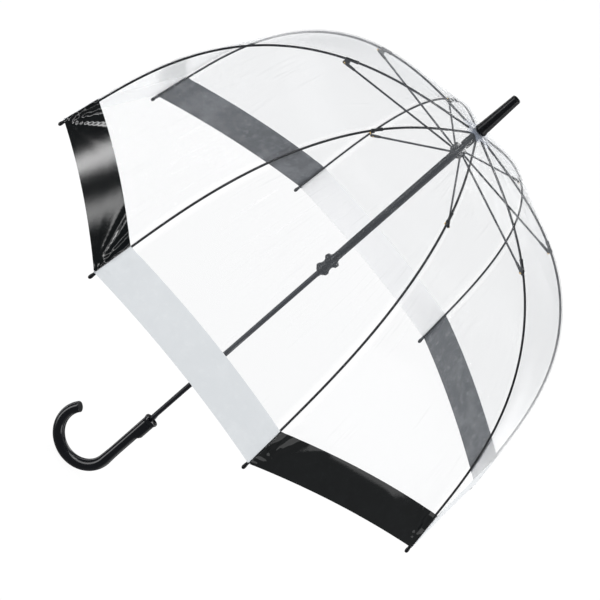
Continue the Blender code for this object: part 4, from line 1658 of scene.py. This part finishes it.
# ---------------------------------------------------------------- handle
@dataclass
class Handle:
    """The polished crook with the swelling on its far side, and the cupped ring on top."""

    palette: Palette
    crown: Crown
    grip_radius: float = 0.00875
    crook_radius: float = 0.0475
    tube_radius: float = 0.010
    end_radius: float = 0.009
    sweep: float = math.radians(212.0)
    boss_length: float = 0.034
    boss_reach: float = 0.0125
    boss_radius: float = 0.0070
    socket_depth: float = 0.040
    flare: float = 0.0009
    flare_length: float = 0.030
    hook_rings: int = 84

    def build(self) -> None:
        """Build the crook and its ring on the root body."""
        for piece, node in ((self.crook(), "handle"), (self.ring(), "handle_collar")):
            settle(piece, self.palette.handle, "gloss_black", "root", node)

    def _stations(self) -> list[Station]:
        """Rings down the straight grip and round the hook to its flat end."""
        low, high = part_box("handle")
        centre = low.z + self.tube_radius + self.crook_radius
        top = high.z
        stations = [
            Station(0, top, self.grip_radius - 0.0006),
            Station(0, top - 0.0002, self.grip_radius - 0.0002),
            Station(0, top - 0.0006, self.grip_radius),
        ]
        z, step = top - 0.0006, 0.0016
        while z - step > centre + 0.001:
            z -= step
            share = min(1.0, max(0.0, (centre + self.flare_length - z) / self.flare_length))
            stations.append(Station(0, z, self.grip_radius + self.flare * share * share))
        for n in range(self.hook_rings + 1):
            share = n / self.hook_rings
            angle = self.sweep * share
            stations.append(
                Station(
                    -self.crook_radius + self.crook_radius * math.cos(angle),
                    centre - self.crook_radius * math.sin(angle),
                    self._width(share),
                    -angle,
                )
            )
        return self._rounded_end(stations)

    def _width(self, share: float) -> float:
        """The tube's radius at a share of the hook."""
        start = self.grip_radius + self.flare
        if share < 0.3:
            return start + (self.tube_radius - start) * math.sin(share / 0.3 * math.pi / 2)
        late = max(0.0, (share - 0.6) / 0.4)
        return self.tube_radius + (self.end_radius - self.tube_radius) * late

    @staticmethod
    def _rounded_end(stations: list[Station]) -> list[Station]:
        """The last ring drawn back and followed by smaller ones, for a rounded edge."""
        last = stations.pop()
        forward = Vector((math.sin(last.turn), -math.cos(last.turn)))
        for back, inward in (
            (0.0014, 0.0), (0.0007, 0.0002), (0.0002, 0.0007), (0.0, 0.0014), (0.0, 0.0020),
            (0.0005, 0.0024),
        ):
            x, z = last.x - forward.x * back, last.z - forward.y * back
            stations.append(Station(x, z, last.radius - inward, last.turn))
        return stations

    def crook(self) -> bpy.types.Object:
        """The whole crook, with its swelling and the socket for the shaft."""
        piece = Hands.sweep("crook_handle", self._stations(), 72)
        _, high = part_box("handle")
        self.swell(piece, high.z)
        Hands.clear()
        bpy.ops.mesh.primitive_cylinder_add(
            vertices=48, radius=self.crown.bore, depth=self.socket_depth + 0.01,
            location=(0, 0, high.z + 0.005 - self.socket_depth / 2),
        )
        cutter = Hands.start("socket_cutter")
        Hands.finish(cutter)
        Hands.combine(piece, [cutter], "DIFFERENCE")
        return piece

    def swell(self, piece: bpy.types.Object, top: float) -> None:
        """Draw the +X side out into the swelling, which ends in a short slope.

        Args:
            piece: The crook or its ring.
            top: The height of the crook's top.
        """
        centre = self.boss_reach - self.boss_radius
        for vert in piece.data.vertices:
            down = top - vert.co.z
            share = min(1.0, max(0.0, (self.boss_length - down) / (self.boss_length * 0.26)))
            share = share * share * (3 - 2 * share)
            radius = math.hypot(vert.co.x, vert.co.y)
            if share <= 0 or radius < self.crown.bore + 0.0005 or vert.co.x < -0.5 * radius:
                continue
            angle = math.atan2(vert.co.y, vert.co.x)
            inside = self.boss_radius**2 - (centre * math.sin(angle)) ** 2
            far = centre * math.cos(angle) + math.sqrt(max(0.0, inside))
            grown = radius * max(1.0, far / self.grip_radius)
            blend = radius + (grown - radius) * share
            vert.co.x *= blend / radius
            vert.co.y *= blend / radius

    def ring(self) -> bpy.types.Object:
        """The cupped ring round the shaft, drawn out over the swelling."""
        low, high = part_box("handle_collar")
        rim, grip, bore = 0.0098, self.grip_radius, self.crown.bore
        _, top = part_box("handle")
        profile = [
            *near(rim, high.z, (-0.8, 0), (-0.3, -0.2), (0, -0.9), (0, -2.6), (-0.3, -3.6)),
            *near(grip, low.z, (0.2, 1.8), (0, 0.6), (-0.4, 0)), (bore, low.z),
            *near(bore, high.z, (0, -3), (0.8, -3.1)),
            *near(rim, high.z, (-3.4, -2.8), (-2.2, -1.6), (-1.5, -0.3), (-1.1, 0)),
        ]
        piece = Hands.turned("handle_ring", profile, 72)
        self.swell(piece, top.z)
        bpy.ops.object.shade_smooth_by_angle(angle=math.radians(50.0))
        return piece


# ---------------------------------------------------------------- studio
@dataclass(frozen=True)
class SoftBox:
    """One area light."""

    name: str
    place: tuple[float, float, float]
    aim: tuple[float, float, float]
    size: tuple[float, float]
    power: float

    def set_up(self) -> None:
        """Add the light, facing its aim."""
        data = bpy.data.lights.new(self.name, "AREA")
        data.shape = "RECTANGLE"
        data.size, data.size_y = self.size
        data.energy = self.power
        lamp = bpy.data.objects.new(self.name, data)
        lamp.location = self.place
        way = Vector(self.aim) - Vector(self.place)
        lamp.rotation_euler = way.to_track_quat("-Z", "Y").to_euler()
        lamp.visible_camera = False
        bpy.context.scene.collection.objects.link(lamp)


@dataclass(frozen=True)
class Panel:
    """A tall bright panel of the studio tent, by azimuth and half width in degrees."""

    azimuth: float
    width: float
    strength: float


@dataclass
class Studio:
    """The camera, the pale floor and the lights."""

    target: Vector = field(default_factory=lambda: Vector((0.0, 0.0, 0.355)))
    azimuth: float = math.radians(4.68)
    elevation: float = math.radians(22.95)
    roll: float = math.radians(48.95)
    distance: float = 3.238
    slide: tuple[float, float] = (0.0203, 0.0007)
    lens: float = 129.73
    sensor: float = 36.0
    floor_size: float = 60.0
    sky: float = 0.62
    backdrop: float = 1.0
    tent: float = 0.30
    panel_foot: tuple[float, float] = (-0.75, -0.60)
    core: float = 0.4
    panels: tuple[Panel, ...] = (
        Panel(221.0, 15.0, 7.0),
        Panel(152.0, 9.0, 3.0),
        Panel(352.0, 16.0, 0.8),
        Panel(20.0, 10.0, 2.5),
        Panel(90.0, 24.0, 1.5),
    )
    lights: tuple[SoftBox, ...] = (
        SoftBox("key_softbox", (-1.8, -1.4, 2.8), (0.0, 0.0, 0.3), (1.6, 1.6), 62.0),
        SoftBox("fill_softbox", (2.6, -0.9, 0.7), (0.0, 0.0, 0.3), (1.2, 1.3), 22.0),
        SoftBox("back_softbox", (0.4, 2.6, 2.2), (0.0, 0.0, 0.3), (2.2, 1.2), 30.0),
    )
    streaks: tuple[float, ...] = (0.36, 0.68)
    streak_gore: int = 5
    streak_width: float = 0.32
    streak_strengths: tuple[float, float] = (24.0, 11.0)

    def build(self) -> None:
        """Set up the camera, the floor and the light."""
        self.place_camera()
        self.lay_floor()
        self.light_sky()
        for light in self.lights:
            light.set_up()

    def camera_place(self) -> tuple[Vector, Vector, Vector, Vector]:
        """The camera's spot and its three axes: right, up and back."""
        az, el = self.azimuth, self.elevation
        back = Vector((math.sin(az) * math.cos(el), -math.cos(az) * math.cos(el), math.sin(el)))
        right = Vector((math.cos(az), math.sin(az), 0.0))
        up = back.cross(right)
        cos, sin = math.cos(self.roll), math.sin(self.roll)
        x_axis = right * cos + up * sin
        y_axis = up * cos - right * sin
        spot = self.target + back * self.distance + x_axis * self.slide[0] + y_axis * self.slide[1]
        return spot, x_axis, y_axis, back

    def streak_panels(self) -> list[Panel]:
        """Narrow bright panels, each where one band mirrors it as a soft streak."""
        spot, *_ = self.camera_place()
        middle = RIDGE.length - RIDGE.hem_width / 2
        slope = float(RIDGE.slope(middle))
        radius, height = float(RIDGE.radius(middle)), float(RIDGE.height(middle))
        angle = gore_angle(self.streak_gore)
        side = outwards(angle + math.pi / 2) * radius * math.sin(HALF_TURN)
        normal = outwards(angle) * math.cos(slope)
        normal.z = math.sin(slope) * math.cos(HALF_TURN)
        normal.normalize()
        panels = []
        for share, strength in zip(self.streaks, self.streak_strengths):
            point = outwards(angle) * radius * math.cos(HALF_TURN) + side * (2 * share - 1)
            point.z = height
            view = (spot - point).normalized()
            mirrored = 2 * normal.dot(view) * normal - view
            azimuth = math.degrees(math.atan2(mirrored.y, mirrored.x))
            panels.append(Panel(azimuth, self.streak_width, strength))
        return panels

    def place_camera(self) -> None:
        """The camera looks down on the front from a little to the right, tilted on its side."""
        spot, x_axis, y_axis, back = self.camera_place()
        data = bpy.data.cameras.new("camera")
        data.sensor_width = self.sensor
        data.lens = self.lens
        camera = bpy.data.objects.new("camera", data)
        turn = Matrix((x_axis, y_axis, back)).transposed().to_4x4()
        camera.matrix_world = Matrix.Translation(spot) @ turn
        bpy.context.scene.collection.objects.link(camera)
        bpy.context.scene.camera = camera

    def lay_floor(self) -> None:
        """A wide pale floor just under the crook."""
        Hands.clear()
        bpy.ops.mesh.primitive_plane_add(size=1.0, location=(0, 0, cad_bounds[0].z - 0.0005))
        floor = Hands.start("pale_floor")
        bpy.ops.transform.resize(value=(self.floor_size, self.floor_size, 1.0))
        bpy.ops.mesh.subdivide(number_cuts=3)
        Hands.finish(floor)
        floor.visible_glossy = False
        floor.data.materials.append(FloorPaint().make())

    def light_sky(self) -> None:
        """Even soft light from all round. Mirrors see a dim tent with tall bright panels."""
        scene = bpy.context.scene
        scene.view_settings.view_transform = "Standard"
        world = bpy.data.worlds.new("studio_sky")
        scene.world = world
        bench = Bench.of_world(world)
        x, y, z = bench.split(bench.add("ShaderNodeTexCoord", output="Generated"))
        level = (x * x + y * y + 1e-6) ** -0.5
        tent = bench.math("ADD", self.tent, 0.0)
        for panel in (*self.panels, *self.streak_panels()):
            way = outwards(math.radians(panel.azimuth))
            towards = (x * way.x + y * way.y) * level
            edge, core = (math.cos(math.radians(w)) for w in (panel.width, panel.width * self.core))
            tent = tent + towards.between(edge, core) * z.between(*self.panel_foot) * panel.strength
        rays = {
            kind: bench.add("ShaderNodeLightPath", output=f"Is {kind} Ray")
            for kind in ("Camera", "Glossy")
        }
        plain = self.sky + rays["Camera"] * (self.backdrop - self.sky)
        bench.set(Color=(1.0, 1.0, 1.0), Strength=plain + rays["Glossy"] * (tent - plain))


def main() -> None:
    """Build the umbrella's looks in order, and then the studio round it."""
    palette = Palette()
    crown = Crown(palette)
    parts = (
        Canopy(palette), Ribs(palette), crown, Runner(palette, crown), Handle(palette, crown)
    )
    for part in parts:
        LOG.info("building %s", type(part).__name__)
        part.build()
    Studio().build()


if __name__ == "__main__":
    main()
